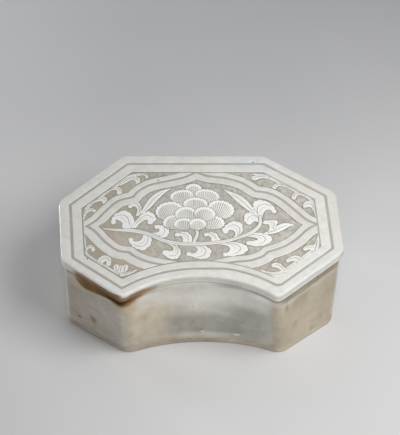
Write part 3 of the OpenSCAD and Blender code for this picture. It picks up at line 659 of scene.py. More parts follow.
def white_slip_finish():
    """Glazed white slip: cool and warm whites in broad patches, fine mottling, rare specks, grey cut lines."""
    f = Finish("white_slip")
    f.colour = f.patches(17, 3, (0.3, (0.72, 0.70, 0.645)), (0.5, (0.78, 0.77, 0.735)), (0.68, (0.72, 0.735, 0.735)))
    f.lay(0.5, f.patches(160, 5, (0.3, 0.62), (0.7, 0.84)), "MULTIPLY")
    f.lay(f.patches(520, 2, (0.71, 0.0), (0.78, 0.6)), (0.36, 0.31, 0.23))
    f.lay("thick", f.patches(60, 3, (0.3, (0.83, 0.83, 0.82)), (0.7, (0.90, 0.905, 0.90))))
    f.lay(f.ramp(f.mark("cut"), (0.15, 0.0), (0.85, 0.9)),
          f.patches(60, 3, (0.35, (0.27, 0.255, 0.215)), (0.65, (0.35, 0.335, 0.295))))
    # Grey on the rim's side: slip that runs thinner there, and painted shade where the side turns from the light.
    f.lay("thin", f.patches(45, 4, (0.3, (0.49, 0.475, 0.425)), (0.7, (0.60, 0.595, 0.56))))
    wear_and_crease_shade(f, 0.95)
    pinholes(f)
    f.bump(f.noise(420, 4), 0.12, 0.0004)
    return glazed(f, 45, (0.42, 0.56), 0.15, 0.4, Coat_Roughness=0.25, Specular_IOR_Level=0.2)


def carved_ground_finish():
    """Bare ground under glaze: khaki to grey-buff patches, scraped strokes, a dark outline round the shapes, dark
    specks, browner at the left front, greyer in the lines."""
    f = Finish("carved_ground")
    f.colour = f.patches(38, 4, (0.3, (0.485, 0.465, 0.395)), (0.5, (0.61, 0.58, 0.52)), (0.7, (0.565, 0.53, 0.475)))
    strokes = f.noise(150, 4, 0.6, (1, 0.35, 1))
    f.lay(0.6, f.ramp(strokes, (0.3, 0.62), (0.7, 1.0)), "MULTIPLY")
    f.lay(0.7, f.ramp(f.noise(330, 3, 0.5, (1, 0.6, 1)), (0.34, 0.6), (0.6, 1.0)), "MULTIPLY")
    f.lay(f.times(f.mark("edge"), f.patches(120, 3, (0.35, 0.4), (0.6, 0.95))), (0.145, 0.128, 0.088))
    f.lay(f.patches(600, 2, (0.66, 0.0), (0.74, 0.55)), (0.16, 0.14, 0.11))
    f.lay("warm", f.patches(30, 4, (0.3, (0.33, 0.285, 0.215)), (0.7, (0.43, 0.375, 0.30))))
    f.lay("pool", f.patches(90, 3, (0.3, (0.42, 0.405, 0.36)), (0.7, (0.52, 0.50, 0.445))))
    f.lay(f.times(f.mark("core"), 0.6), (0.23, 0.215, 0.175))
    pinholes(f)
    f.bump(f.math("ADD", f.noise(700, 4), strokes), 0.3, 0.0005)
    return f.set(Roughness=f.patches(70, 3, (0.3, 0.4), (0.7, 0.58)), Coat_Weight=0.15, Coat_Roughness=0.2,
                 Specular_IOR_Level=0.4)


def wall_glaze_finish():
    """Thin slip under clear glaze on the walls: grey-cream, buff where the slip thins, mauve-grey on the left,
    grey-green and painted shade on the hollow front and towards its foot, painted highlights on its upper part,
    mottled and streaked, stained under the rim, with painted shade in the crease, a few spots of rust and grime, and
    painted glints."""
    f = Finish("wall_glaze")
    warm, mauve = f.mark("warm"), f.mark("mauve")
    f.colour = f.patches(16, 4, (0.3, (0.55, 0.525, 0.455)), (0.5, (0.66, 0.635, 0.57)), (0.7, (0.64, 0.635, 0.59)))
    thin = f.math("ADD", warm, f.math("MULTIPLY_ADD", f.noise(30, 5), 0.9, -0.45))
    f.lay(f.ramp(thin, (0.2, 0.0), (0.85, 1.0)),
          f.patches(26, 5, (0.3, BUFF_DARK), (0.55, BUFF), (0.75, BUFF_LIGHT)))
    f.lay(f.times(mauve, 0.8), f.patches(34, 4, (0.35, (0.375, 0.335, 0.28)), (0.65, (0.465, 0.42, 0.365))))
    f.lay(f.times(f.mark("shade"), f.patches(28, 4, (0.25, 0.65), (0.6, 1.0))),
          f.patches(22, 4, (0.35, (0.25, 0.245, 0.205)), (0.65, (0.345, 0.34, 0.295))))
    runs = f.noise(60, 4, 0.6, (1, 1, 0.25))
    f.lay(0.55, f.ramp(runs, (0.3, 0.72), (0.7, 1.0)), "MULTIPLY")
    f.lay(0.5, f.ramp(f.noise(130, 4, 0.6), (0.32, 0.78), (0.66, 1.0)), "MULTIPLY")
    smudge = f.ramp(f.noise(52, 4, 0.5, (1, 1, 0.7)), (0.52, 0.0), (0.68, 0.35))
    f.lay(f.times(warm, smudge), (0.25, 0.185, 0.10))
    streak = f.ramp(f.noise(40, 4, 0.55, (1, 1, 3.2)), (0.54, 0.0), (0.7, 0.35))
    f.lay(f.times(mauve, streak), (0.25, 0.185, 0.115))
    f.lay(f.patches(480, 2, (0.7, 0.0), (0.77, 0.6)), (0.22, 0.18, 0.13))
    # Painted highlight and painted reflection on the upper front wall.
    f.lay("painted_highlight", f.patches(50, 3, (0.3, (0.76, 0.76, 0.75)), (0.7, (0.86, 0.865, 0.87))))
    f.lay("smear", f.patches(60, 4, (0.3, (0.36, 0.27, 0.165)), (0.7, (0.52, 0.44, 0.33))))
    wear_and_crease_shade(f, 1.0)
    rust = f.times(f.spot((-95.5, -58, 25), 5.0, 2.0), f.patches(150, 3, (0.3, 0.2), (0.6, 1.0)))
    f.lay(f.ramp(rust, (0.1, 0.0), (0.6, 0.75)), (0.21, 0.105, 0.06))
    dark = f.most(f.spot((-108.6, -48.9, 17), 2.4), f.spot((-5.8, -61.2, 46), 1.5, 1.4),
                  f.times(f.spot((1, -64, 17), 3.2, 0.45), 0.6))
    f.lay(f.ramp(dark, (0.1, 0.0), (0.6, 0.9)), (0.09, 0.075, 0.06))
    glint = f.most(f.spot((2.5, -64.4, 14.4), 3.4, 0.4), f.spot((32.7, -67, 13), 5.0, 0.35))
    f.lay(f.ramp(glint, (0.1, 0.0), (0.7, 0.5)), (0.86, 0.86, 0.84))
    f.bump(f.math("ADD", f.noise(260, 4), runs), 0.3, 0.0007)
    return glazed(f, 40, (0.24, 0.42), 0.45, 0.35, Coat_Roughness=0.12, Specular_IOR_Level=0.25)


def clay_finish(name, dark, light, glaze):
    """Fired clay: two tones in patches and grains, dark specks, buff where marked, a rough skin with some glaze."""
    f = Finish(name)
    f.colour = f.patches(40, 5, (0.3, dark), (0.7, light))
    f.lay(0.6, f.patches(300, 4, (0.3, 0.68), (0.7, 1.0)), "MULTIPLY")
    cells = f.node("TexVoronoi", Vector=f.coords, Scale=220).outputs["Distance"]
    f.lay(f.ramp(cells, (0.03, 0.7), (0.12, 0.0)), (0.13, 0.10, 0.075))
    f.lay("buff", f.patches(26, 5, (0.3, BUFF_DARK), (0.7, BUFF_LIGHT)))
    f.bump(f.noise(500, 6, 0.65), 0.4, 0.0006)
    return f.set(Roughness=f.patches(90, 3, (0.3, 0.55), (0.7, 0.8)), Coat_Weight=glaze, Coat_Roughness=0.25)


WHITE_SLIP = white_slip_finish()
CARVED_GROUND = carved_ground_finish()
WALL_GLAZE = wall_glaze_finish()
# The base's clay tones are darker than the clay's own: partly painted shade for its foot, which stands in shadow.
BARE_CLAY = clay_finish("bare_clay", (0.30, 0.26, 0.20), (0.45, 0.40, 0.335), 0.35)
INNER_CLAY = clay_finish("inner_clay", (0.36, 0.31, 0.24), (0.46, 0.41, 0.33), 0.0)

for node in ("front_wall", "front_left_wall", "left_end_wall", "back_left_wall", "back_wall", "back_right_wall",
             "right_end_wall", "front_right_wall", "corner_coils", "base_coil", "headrest_luting"):
    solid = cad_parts[node].data
    solid.materials.clear()
    solid.materials.append(INNER_CLAY)

# ---- Places round the loop, for stains and tints, as distances along it: to the left of the front left corner, and
# from that corner to the right along the hollow front
AROUND = along(closed(EDGE))
RUN, ROUND = AROUND[:-1], AROUND[-1]
LEFT_OF_CORNER = RUN - RUN[CORNER_N // 2]
RIGHT_OF_CORNER = (RUN[CORNER_N // 2] - RUN) % ROUND
FROM_CORNER = np.where(RIGHT_OF_CORNER < 200, -RIGHT_OF_CORNER, LEFT_OF_CORNER)
PER_EDGE = CORNER_N + EDGE_N - 1
TURN_AT = [RUN[i * PER_EDGE + CORNER_N // 2] for i in range(8)]


def between(a, b, soft):
    """1 along the loop from run a to run b, eased over soft at both ends."""
    return smooth(a - soft, a + soft, RUN) * (1 - smooth(b - soft, b + soft, RUN))


def stain_left():
    """The stain's strength along the front left edge, strongest at the front left corner."""
    return smooth(62, 40, FROM_CORNER) * smooth(-7, 5, FROM_CORNER) * (0.78 + 0.22 * smooth(34, 4, FROM_CORNER))


def stain_right():
    """The stain's strength along the hollow front, fading away from the front left corner."""
    return smooth(66, -8, RIGHT_OF_CORNER) * (RIGHT_OF_CORNER < 80)


def crease():
    """Painted shade in the crease under the rim: faint all round, darker at the left and along the right part of the
    hollow front."""
    bow = smooth(72, 100, RIGHT_OF_CORNER) * smooth(172, 150, RIGHT_OF_CORNER)
    bow = bow * (1 - 0.6 * bell(RIGHT_OF_CORNER, 113, 6))
    end = smooth(34, 54, FROM_CORNER) * smooth(TURN_AT[1] + 8, TURN_AT[1] - 2, RUN)
    return 0.2 * (1 - flush()) + 0.4 * (bow + end)


def rubbed():
    """Where the slip was rubbed off under the rim: along the front right edge."""
    return between(TURN_AT[6] + 3, TURN_AT[7] - 5, 6)


def flush():
    """Where the clay was wiped up to the rim, so that the wall flares out to meet it: the middle of the front."""
    return smooth(14, 42, RIGHT_OF_CORNER) * smooth(122, 92, RIGHT_OF_CORNER)


# ---- Headrest, rim, walls and base
FACE_HEART = np.array([0.0, 3.0])
FACE_LOOPS = 125
GROUND_ROUGH = 0.16
RIM_WOBBLE = 0.45
# How far the wall flares out, and up past the headrest's underside, where it is flush with the rim
FLARE = 2.45
FLARE_UP = 0.75
WALL_SWELL = 0.3
# The wall's height along its slope, and half the side of the vent's patch in steps of the grid
WALL_HIGH = 74
VENT_HALF = 2


def put_loops(name, node, slot, material, loops, wrap=False, **marks):
    """A piece from a stack of loops, whose last joins its first if asked."""
    put(name, node, slot, material, loops.reshape(-1, 3), grid_faces(len(loops), LOOP_N, wrap), **marks)


def roll(depth, steps):
    """Quarter round of the rim, as insets and lifts, for a skin that lies depth below the outside."""
    a = np.linspace(0, np.pi / 2, steps)
    return list(zip(EDGE_R - (EDGE_R - depth) * np.cos(a), SLIP_T - EDGE_R + (EDGE_R - depth) * np.sin(a)))


def headrest():
    """The slab is a stack of loops: from the middle of its underside out, round its edge, and in over its face,
    where the loops shrink towards the middle. Plane waves roughen the carved face."""
    under = rim_outline(SLIP_T + 0.8)
    rows = [on_face(under * s, -HEADREST_T) for s in (0.0, 0.3, 0.6, 0.85, 1.0)]
    rows += [on_face(rim_outline(i), z) for i, z in [(SLIP_T, -HEADREST_T + 0.8)] + roll(SLIP_T, 7)]
    rows += [on_face(strayed(rim_outline(LINE_IN - 1), 1), 0)]
    pooled = len(rows)
    rows += [on_face(strayed(rim_outline(i), k), GROUND_LIFT) for i, k in (
        (LINE_IN - 0.4, 1), (LINE_IN + LINE_W / 2, 1), (BORDER_OUT + 0.4, 1), (BORDER_OUT + 1.5, 0.7),
        (BORDER_IN - 1, 0), (BORDER_IN - 0.3, 0))]
    first = len(rows)
    field = rim_outline(FIELD_IN)
    shrink = np.linspace(1, 0, FACE_LOOPS)
    face = FACE_HEART + (field - FACE_HEART) * shrink[:, None, None]
    carved = GROUND_ROUGH * uneven(face, *GROUND_RIPPLES) * smooth(1.0, 0.97, shrink)[:, None] + GROUND_LIFT
    loops = np.concatenate([np.array(rows), on_face(face, carved)])
    x, y = loops[..., 0], loops[..., 1]
    over = face[1:].reshape(-1, 2)
    off_line = np.abs(panel_depth(over)).reshape(-1, LOOP_N)
    pool, core, edge = np.zeros((3, *x.shape))
    pool[pooled:first + 1] = 1
    pool[first + 1:] = smooth(1.8, 1.1, off_line)
    core[pooled + 1] = 0.75 - 0.35 * smooth(20, 60, y[pooled + 1])
    core[first - 1:first + 1] = 0.6 + 0.5 * smooth(20, -20, field[:, 0])
    core[first + 1:] = 0.75 * bell(off_line, 0, 0.8)
    edge[first + 1:] = cut_outline(over).reshape(-1, LOOP_N)
    warm = 0.7 * smooth(-25, -75, x) + 0.25 * smooth(-10, -40, y)
    put_loops("headrest_clay", "headrest_slab", "carved_ground", CARVED_GROUND, loops,
              pool=pool, core=core, edge=edge, warm=warm)


def outward(loop):
    """Unit normals of a loop seen from above, pointing out of it."""
    d = np.roll(loop, -1, 0) - np.roll(loop, 1, 0)
    n = np.stack([-d[:, 1], d[:, 0]], -1)
    return n / np.linalg.norm(n, axis=1)[:, None]


def banded(profile):
    """Loops of a band: each row has its inset, its lift, its share of a slow wave and of the broad line's stray."""
    rows = []
    for ins, lift, share, stray in profile:
        loop = strayed(rim_outline(ins), stray)
        if share:
            wave = RIM_WOBBLE * share * (0.5 + 0.5 * uneven(loop, *WALL_RIPPLES))
            loop = loop - outward(loop) * wave[:, None]
        rows.append(on_face(loop, lift))
    return np.array(rows)


def rim_band():
    """Slip over the rim: up a slightly hollow side, round the edge, in over the face to the first line."""
    side = [(0.4, -8.2, 1, 0), (0.12, -7.7, 1, 0), (0.0, -7.0, 1, 0), (0.12, -6.0, 1, 0), (0.3, -5.0, 1, 0),
            (0.22, -4.0, 1, 0), (0.05, -3.2, 1, 0)]
    over = [(i, z, 1 - k / 11, 0) for k, (i, z) in enumerate(roll(0, 12))]
    line = LINE_IN - WORN
    top = [(4.0, SLIP_T, 0, 0), (5.0, SLIP_T, 0, 0.5), (line - 0.55, SLIP_T, 0, 1),
           (line - 0.25, SLIP_T - 0.06, 0, 1), (line - 0.07, SLIP_T - 0.2, 0, 1), (line, GROUND_LIFT - 0.05, 0, 1),
           (line - 0.3, -0.02, 0, 1)]
    back = [(i, z, 0, 0) for i, z in roll(SLIP_T + 0.02, 7)[::-1]] + [(SLIP_T + 0.02, -8.2, 0, 0)]
    profile = side + over + top + back
    loops = banded(profile)
    loops[..., 2] = np.minimum(loops[..., 2], cad_box[1][2] * 1000)
    lifts = np.array([row[1] for row in profile])[:, None]
    start = 0.5 - 1.2 * smooth(3, 12, FROM_CORNER)
    stain = stain_left() * (0.42 * smooth(start + 0.3, start - 0.6, lifts) + 0.36 * smooth(-3.5, -7.2, lifts))
    stain = np.maximum(stain, stain_right() * smooth(-1.6, -5.0, lifts) * 0.5)
    white_end = np.maximum(smooth(46, 60, FROM_CORNER) * (RUN < TURN_AT[1] + 6),
                           smooth(102, 122, RIGHT_OF_CORNER) * smooth(170, 150, RIGHT_OF_CORNER))
    # Grey on the rim's side below the roll: partly slip that runs thinner there, partly painted shade where the side
    # turns down from the light.
    thin = 0.85 * smooth(-0.6, -4.0, lifts) * (1 - 0.8 * np.maximum(rubbed(), white_end))
    # Grey over the face towards the right end.
    thin = np.maximum(thin, 0.35 * smooth(80, 112, EDGE[:, 0]) * (lifts > 0))
    cut = np.zeros(loops.shape[:2])
    cut[len(side) + len(over) + 5] = 0.9
    cut[len(side) + 7:len(side) + 9] = 0.4 * bell(EDGE[:, 0], 2, 20) * (EDGE[:, 1] < 0)
    # The crease mark paints shade along the rim's lower edge.
    put_loops("rim_slip", "rim_slip_band", "white_slip", WHITE_SLIP, loops, True, stain=stain, cut=cut, thin=thin,
              bare=smooth(-6.9, -7.8, lifts) * rubbed(), dirt=crease() * smooth(-6.4, -7.7, lifts))


def border_band():
    """The second white band: a flat strip with rounded edges between the broad line and the fine line."""
    edge = [(0.3, -0.02), (0.0, GROUND_LIFT - 0.05), (0.07, SLIP_T - 0.2), (0.25, SLIP_T - 0.06), (0.55, SLIP_T)]
    outer, filled = BORDER_OUT + WORN, BORDER_IN - WORN / 2 + FILLED_LINE
    profile = [(outer + i, z, 0, 1) for i, z in edge]
    profile += [(outer + (filled - outer) * s, SLIP_T, 0, 1 - s) for s in (0.35, 0.65)]
    profile += [(filled - i, z, 0, 0) for i, z in edge[::-1]]
    loops = banded(profile)
    cut = np.zeros(loops.shape[:2])
    cut[[1, -2]] = 0.9
    put_loops("border_slip", "border_slip_band", "white_slip", WHITE_SLIP, loops, True, stain=0 * cut, cut=cut)


def wall_loop(share, out, swell):
    """The wall at a share of its height: the foot's outline eased into the rim's, moved out with slow waves."""
    low = np.concatenate([foot_outline(-out), np.full((LOOP_N, 1), BASE_T)], 1)
    p = low + (on_face(rim_outline(OVERHANG - out), -HEADREST_T) - low) * share
    if swell:
        wave = uneven(np.stack([RUN, p[:, 2] * 1.3], -1), *WALL_RIPPLES) * 1.4 + 0.25
        move = swell * wave * np.sin(np.pi * share) ** 0.5 + FLARE * flush() * smooth(0.76, 1.0, share) ** 1.5
        p[:, :2] += outward(p) * move[:, None]
        p[:, 2] += FLARE_UP * flush() * smooth(0.9, 1.0, share)
    return p


def wall_marks(shares):
    """Stains, tints, painted shade and painted highlights of the walls, by the distance below the rim or the height
    over the base, and by the place round the loop."""
    below, height = (1 - shares)[:, None] * WALL_HIGH, shares[:, None] * WALL_HIGH
    left, right = LEFT_OF_CORNER, RIGHT_OF_CORNER
    corner = smooth(24, 0, np.minimum(np.abs(left), right))
    deeper = 0.22 * np.clip(FROM_CORNER - 12, 0, 32) * smooth(60, 42, FROM_CORNER)
    stain = np.maximum(stain_left() * 0.78 * smooth(9.2, 5.8, below - deeper),
                       stain_right() * 0.4 * smooth(8, 4.5, below))
    stain = stain + corner * (0.35 * smooth(14, 6, below) + 0.16 * smooth(26, 8, below))
    stain = np.where((left > 60) & (right > 100), 0.3 * smooth(95, 66, left) * smooth(9, 0, below), stain)
    warm = between(TURN_AT[6], TURN_AT[7] + 7, 7) * 0.95 + 0.5 * smooth(8, 1, height)
    warm = np.maximum(warm, 0.8 * smooth(TURN_AT[6] - 62, TURN_AT[6], RUN) * (RUN < TURN_AT[6]))
    warm = warm + 0.72 * smooth(82, 26, right) * smooth(3, 20, below) * smooth(-8, 6, right)
    warm = warm - 0.5 * rubbed() * bell(below, 12.2, 2)
    dragged = smooth(24, 40, left) * smooth(TURN_AT[1] + 4, TURN_AT[1] - 4, RUN)
    smear = np.max([
        0.75 * dragged * bell(below, 11 + 0.13 * left, 3.2),
        0.6 * bell(right, 6, 8) * smooth(27, 19, below),
        0.4 * bell(right, 139, 5) * bell(below, 25, 7)], axis=0)
    on_left = np.where(right < 60, smooth(14, -10, right), smooth(-14, 10, left))
    mauve = on_left * smooth(TURN_AT[1] + 8, TURN_AT[1] - 8, RUN) * smooth(1, 14, below)
    mauve = np.where((left > 150) & (right > 60), 0, mauve)
    # Painted shade, with some grey-green of the glaze: grey patches over the hollow front, darkest towards its
    # right, and darker towards its foot.
    shade = np.max([
        0.95 * bell(right, 114, 27) * bell(np.maximum(np.abs(height - 24) - 14, 0), 0, 14),
        0.5 * smooth(26, 60, right) * bell(height, 27, 11),
        0.95 * smooth(24, 50, right) * smooth(42, 26, height) * smooth(3, 11, height) * smooth(140, 108, right)],
        axis=0) * smooth(154, 136, right)
    # Painted shade in the crease just below the rim, with a dark drag line on the left front and a dark mark past
    # the front right corner.
    dirt = crease() * smooth(6.0, 3.0, below) + 0.3 * dragged * bell(below, 15 + 0.15 * left, 0.9)
    dirt = np.maximum(dirt, 0.4 * bell(right, 153, 2.5) * bell(below, 18, 6))
    # Painted highlight: the upper front wall paler where light falls on it, and a painted reflection just under the
    # rim towards the right end of the hollow front.
    painted_highlight = np.maximum(0.28 * smooth(8, 26, right) * smooth(142, 126, right) * smooth(34, 20, below),
                      0.95 * bell(right, 128, 13) * bell(below, 7.5, 5.5))
    return dict(stain=stain, warm=warm, mauve=mauve, shade=shade, dirt=dirt, smear=smear, painted_highlight=painted_highlight,
                bare=rubbed() * smooth(9.9, 8.4, below))


def wall_coat():
    """Slip on the walls: outer and inner skins as loops from foot to headrest, closed at both ends. The skins
    open round the vent, where the ring of points next to it moves on to the vent's circle."""
    shares = np.concatenate([[0, 0.012, 0.03], np.linspace(0.05, 0.95, 45), [0.975, 1.0]])
    outer = np.array([wall_loop(s, COAT_T - 0.35 * (s < 0.01), WALL_SWELL) for s in shares])
    inner = np.array([wall_loop(s, 0.06, 0) for s in shares])
    rows = len(shares)
    count = rows * LOOP_N
    back = slice(3 * PER_EDGE, 4 * PER_EDGE)
    col = 3 * PER_EDGE + int(np.abs(outer[rows // 2, back, 0]).argmin())
    row = int(np.abs(outer[:, col, 2] - VENT_HEIGHT).argmin())
    patch = np.s_[row - VENT_HALF:row + VENT_HALF + 1, col - VENT_HALF:col + VENT_HALF + 1]
    ring_k, ring_i = np.mgrid[-VENT_HALF:VENT_HALF + 1, -VENT_HALF:VENT_HALF + 1]
    ring = np.maximum(np.abs(ring_i), np.abs(ring_k)) == VENT_HALF
    angle = np.arctan2(ring_k, ring_i)
    for skin in (outer, inner):
        skin[patch][ring, 0] = VENT_R * np.cos(angle[ring])
        skin[patch][ring, 2] = VENT_HEIGHT + VENT_R * np.sin(angle[ring])
    faces = grid_faces(rows, LOOP_N)
    k, i = np.divmod(np.arange(len(faces)), LOOP_N)
    faces = faces[(np.abs(k - row + 0.5) > VENT_HALF) | (np.abs(i - col + 0.5) > VENT_HALF)]
    index = np.arange(count).reshape(rows, LOOP_N)
    at = index[patch]
    at = np.concatenate([at[0, :-1], at[:-1, -1], at[-1, :0:-1], at[:0:-1, 0]])
    bands = []
    for a, flip in ((at, 1), (index[0], -1), (index[-1], 1)):
        b = np.roll(a, -1)
        bands.append(np.stack([a, b, b + count, a + count], -1)[:, ::flip])
    marks = {name: np.tile(np.broadcast_to(mark, index.shape).ravel(), 2)
             for name, mark in wall_marks(shares).items()}
    put("wall_coat", "wall_slip_coat", "wall_glaze", WALL_GLAZE, np.concatenate([outer, inner]).reshape(-1, 3),
        np.concatenate([faces, faces[:, ::-1] + count] + bands), **marks)


def base():
    """The base slab: loops from the middle of its underside out, up a rounded edge and in over its top."""
    side = [(0.9, 0.0), (0.45, 0.12), (0.12, 0.5), (-0.05, 1.2), (0.05, 2.6), (0.0, 4.2), (0.12, 5.2), (0.45, 5.9)]
    edge = [np.concatenate([foot_outline(ins - COAT_T), np.full((LOOP_N, 1), z)], 1) for ins, z in side]
    lower = [edge[0] * [s, s, 1] for s in (0.0, 0.35, 0.7, 0.9)]
    upper = [edge[-1] * [s, s, 1] for s in (0.97, 0.6, 0.0)]
    loops = np.array(lower + edge + upper)
    put_loops("base_clay", "base_slab", "bare_clay", BARE_CLAY, loops,
              buff=np.tile(0.85 * between(TURN_AT[6], TURN_AT[7] + 6, 6), len(loops)))


rim_band()
border_band()
wall_coat()
base()

# ---- The carved pattern
STEM = [[-86, -4.3, 0.5], [-74, -5.8, 1.2], [-60, -6.6, 1.9], [-46, -10.5, 1.8], [-33, -17.5, 1.8],
        [-18, -21.3, 1.9], [0, -21.4, 1.8], [18, -19.4, 1.6], [32, -15, 1.4], [45, -8.6, 1.6],
        [52.5, 0, 1.6], [53.2, 10, 1.2]]
FLOWER_STALK = [[-4.2, -4, 1.5], [-2.8, -10, 1.4], [-5.4, -18, 1.5], [-6, -21, 1.6]]

# Each leaf has an outer and an inner edge, both from its base to its tip.
LEFT_LEAVES = [
    [[[-60, -4.6], [-58.6, 4], [-62, 13], [-67.5, 16.8], [-75.5, 13.5], [-79.4, 6.5], [-78.6, 0.5]],
     [[-66, -5.2], [-69.6, -2.5], [-69.6, 2], [-72.5, 5], [-75.6, 6.2], [-77, 3.4], [-78, 0.5]]],
    [[[-54.5, 12.5], [-49.5, 24], [-44.5, 33], [-36, 40], [-26.5, 43.2]],
     [[-51, 13.8], [-44.5, 21], [-38, 30.5], [-32, 37.8], [-27, 42.4]]],
    [[[-55.2, 10.5], [-52.8, 18], [-54.2, 24.5], [-58.5, 27], [-64.5, 22.3]],
     [[-58, 10.8], [-56.6, 16.5], [-58, 20.8], [-61, 21.8], [-64.2, 21.2]]],
    [[[-62, -3.2], [-57, 5.5], [-52, 13.2], [-45.5, 15.8], [-39, 8.6], [-42, 3.4], [-46.8, 1.2]],
     [[-57.5, -3.5], [-53.6, 2.5], [-49.5, 5.8], [-46.3, 5], [-46, 3], [-47.2, 1.8]]],
    [[[-51, -9.2], [-40, -14.2], [-31, -14.2], [-27.4, -7], [-32, -0.6], [-39, 0], [-41, -1.8]],
     [[-51, -7.4], [-43, -8.8], [-37.8, -8.2], [-36.6, -5.2], [-38.8, -3.4], [-40.8, -2.8]]],
    [[[-46, -9.5], [-43, -17], [-45, -25], [-51, -28.8], [-58.5, -25.8], [-62.6, -20], [-63.6, -15.4]],
     [[-50.5, -8.5], [-51.2, -14], [-53.6, -18], [-57.5, -18.8], [-61, -17.4], [-63, -15.2]]],
]
LOWER_LEAVES = [
    [[[-31, -18.2], [-21, -23], [-17, -31], [-20, -37.8], [-25, -39], [-31.5, -35], [-33.2, -30.8]],
     [[-30, -21], [-24.6, -25], [-24.2, -28.8], [-27.4, -29.4], [-30.4, -28.6], [-32.8, -30]]],
    [[[-16, -21.4], [2, -22.8], [9.6, -29], [8, -35.6], [2, -38.6], [-7, -36.4], [-12.6, -32.6]],
     [[-14, -23], [-5, -24.8], [-2.6, -28.2], [-4.6, -31.6], [-9, -32.4], [-12.4, -32]]],
    [[[13, -20], [30, -19.4], [40, -23], [41.6, -28.4], [36, -33.2], [27, -35.4], [19.6, -33.8]],
     [[14, -22], [22, -23], [25.6, -26.4], [24.4, -30.4], [21.6, -32.4], [19.8, -33]]],
    [[[-7.6, -21.6], [-7.4, -15], [-9.4, -9.6], [-15, -7.6], [-20, -9.6], [-22.6, -12.8]],
     [[-16.5, -21], [-15.6, -16.4], [-16.6, -13.2], [-19, -12.2], [-20.8, -12.4], [-22.4, -13.2]]],
    [[[18, -19.2], [16.4, -14], [13.4, -9.2], [8.6, -8], [4.4, -10], [3.2, -12.6]],
     [[10, -20], [9.2, -16], [8.4, -13.2], [6.4, -12], [5, -12.2], [3.4, -13]]],
]
RIGHT_LEAVES = [
    [[[29.5, -16], [37, -7.5], [37, 1], [31, 4.8], [24.5, 2], [19.2, -4.5], [21, -9.4]],
     [[27, -16.6], [30.6, -11], [29.6, -7], [26.6, -5.6], [24.4, -6.6], [22.4, -9.6]]],
    [[[31, -14.8], [44, -9], [57, -9.8], [63.4, -15], [60, -21], [51, -24.4], [42, -22.4], [40.4, -19.6]],
     [[32, -15.8], [40, -13.4], [48, -14.4], [50.4, -16.4], [46.5, -18], [43, -18.2], [40.8, -19]]],
    [[[56, -9.4], [63.5, -4.6], [70, 0.6], [76.5, 2.4], [83.5, 0.4]],
     [[56, -10.8], [66, -9.2], [73.6, -5.2], [79, -1.5], [83, -0.2]]],
    [[[64.6, -6.4], [67.6, 0], [68.6, 4.4], [63.5, 5.6], [57.5, 5.2], [55, 2.6]],
     [[60, -8], [61, -3], [60.6, 0.2], [58.6, 1], [57.2, 0.8], [55.6, 1.8]]],
    [[[53, 6], [51, 12.6], [45, 15.8], [39.6, 12.4], [38.6, 5.6], [41, 1.6], [44, 1]],
     [[51.5, 2.6], [49.6, 4.2], [48, 4.4], [46.4, 3.6], [45.6, 2.4], [45.2, 1.4]]],
    [[[51.6, 9], [47.4, 19], [47.6, 27], [54, 29.6], [61.6, 26.4], [66.6, 20], [66.8, 14.6]],
     [[55, 6], [55.8, 12], [58, 16.8], [61.2, 18], [63.8, 16.4], [65.6, 14.2]]],
    [[[51.4, 12], [44.4, 24.6], [38.5, 32.4], [30, 37.8], [20.4, 42]],
     [[49.6, 11.4], [41, 18.4], [33, 26.8], [27.4, 34], [21, 41]]],
]

# Petals from the back of the bloom to its front: middle, half width, half height and tilt
PETALS = [
    [-6.4, 42.6, 7.4, 5.8, 0], [-17, 34, 10.6, 7.2, 12], [6, 34.6, 11.2, 7.2, -14],
    [-28, 16.4, 12.4, 10.4, 18], [18, 18, 12.2, 10.6, -18], [-4.6, 24.4, 10.8, 7.6, 0],
    [-24, 3.6, 9.6, 8, 20], [10, 3.4, 11.6, 8, -12], [-13.4, 13, 9.4, 8, 8],
    [3.8, 13, 9.4, 8, -8], [-15, 1.2, 8.6, 6.6, 6], [-2.6, 1, 7.4, 6.6, -4],
]
# The slip left standing between the petals, as one more petal at the back
BLOOM_HEART = [-5, 17.5, 25, 21, 0]
SCALLOPS = 17
SCALLOP_DEPTH = 0.085
PETAL_GAP = 0.8
PETAL_CUT = 0.35
COMB_PITCH = 1.75
COMB_REACH = 3.6
COMB_W = 0.21
SHADOW_W = 0.55

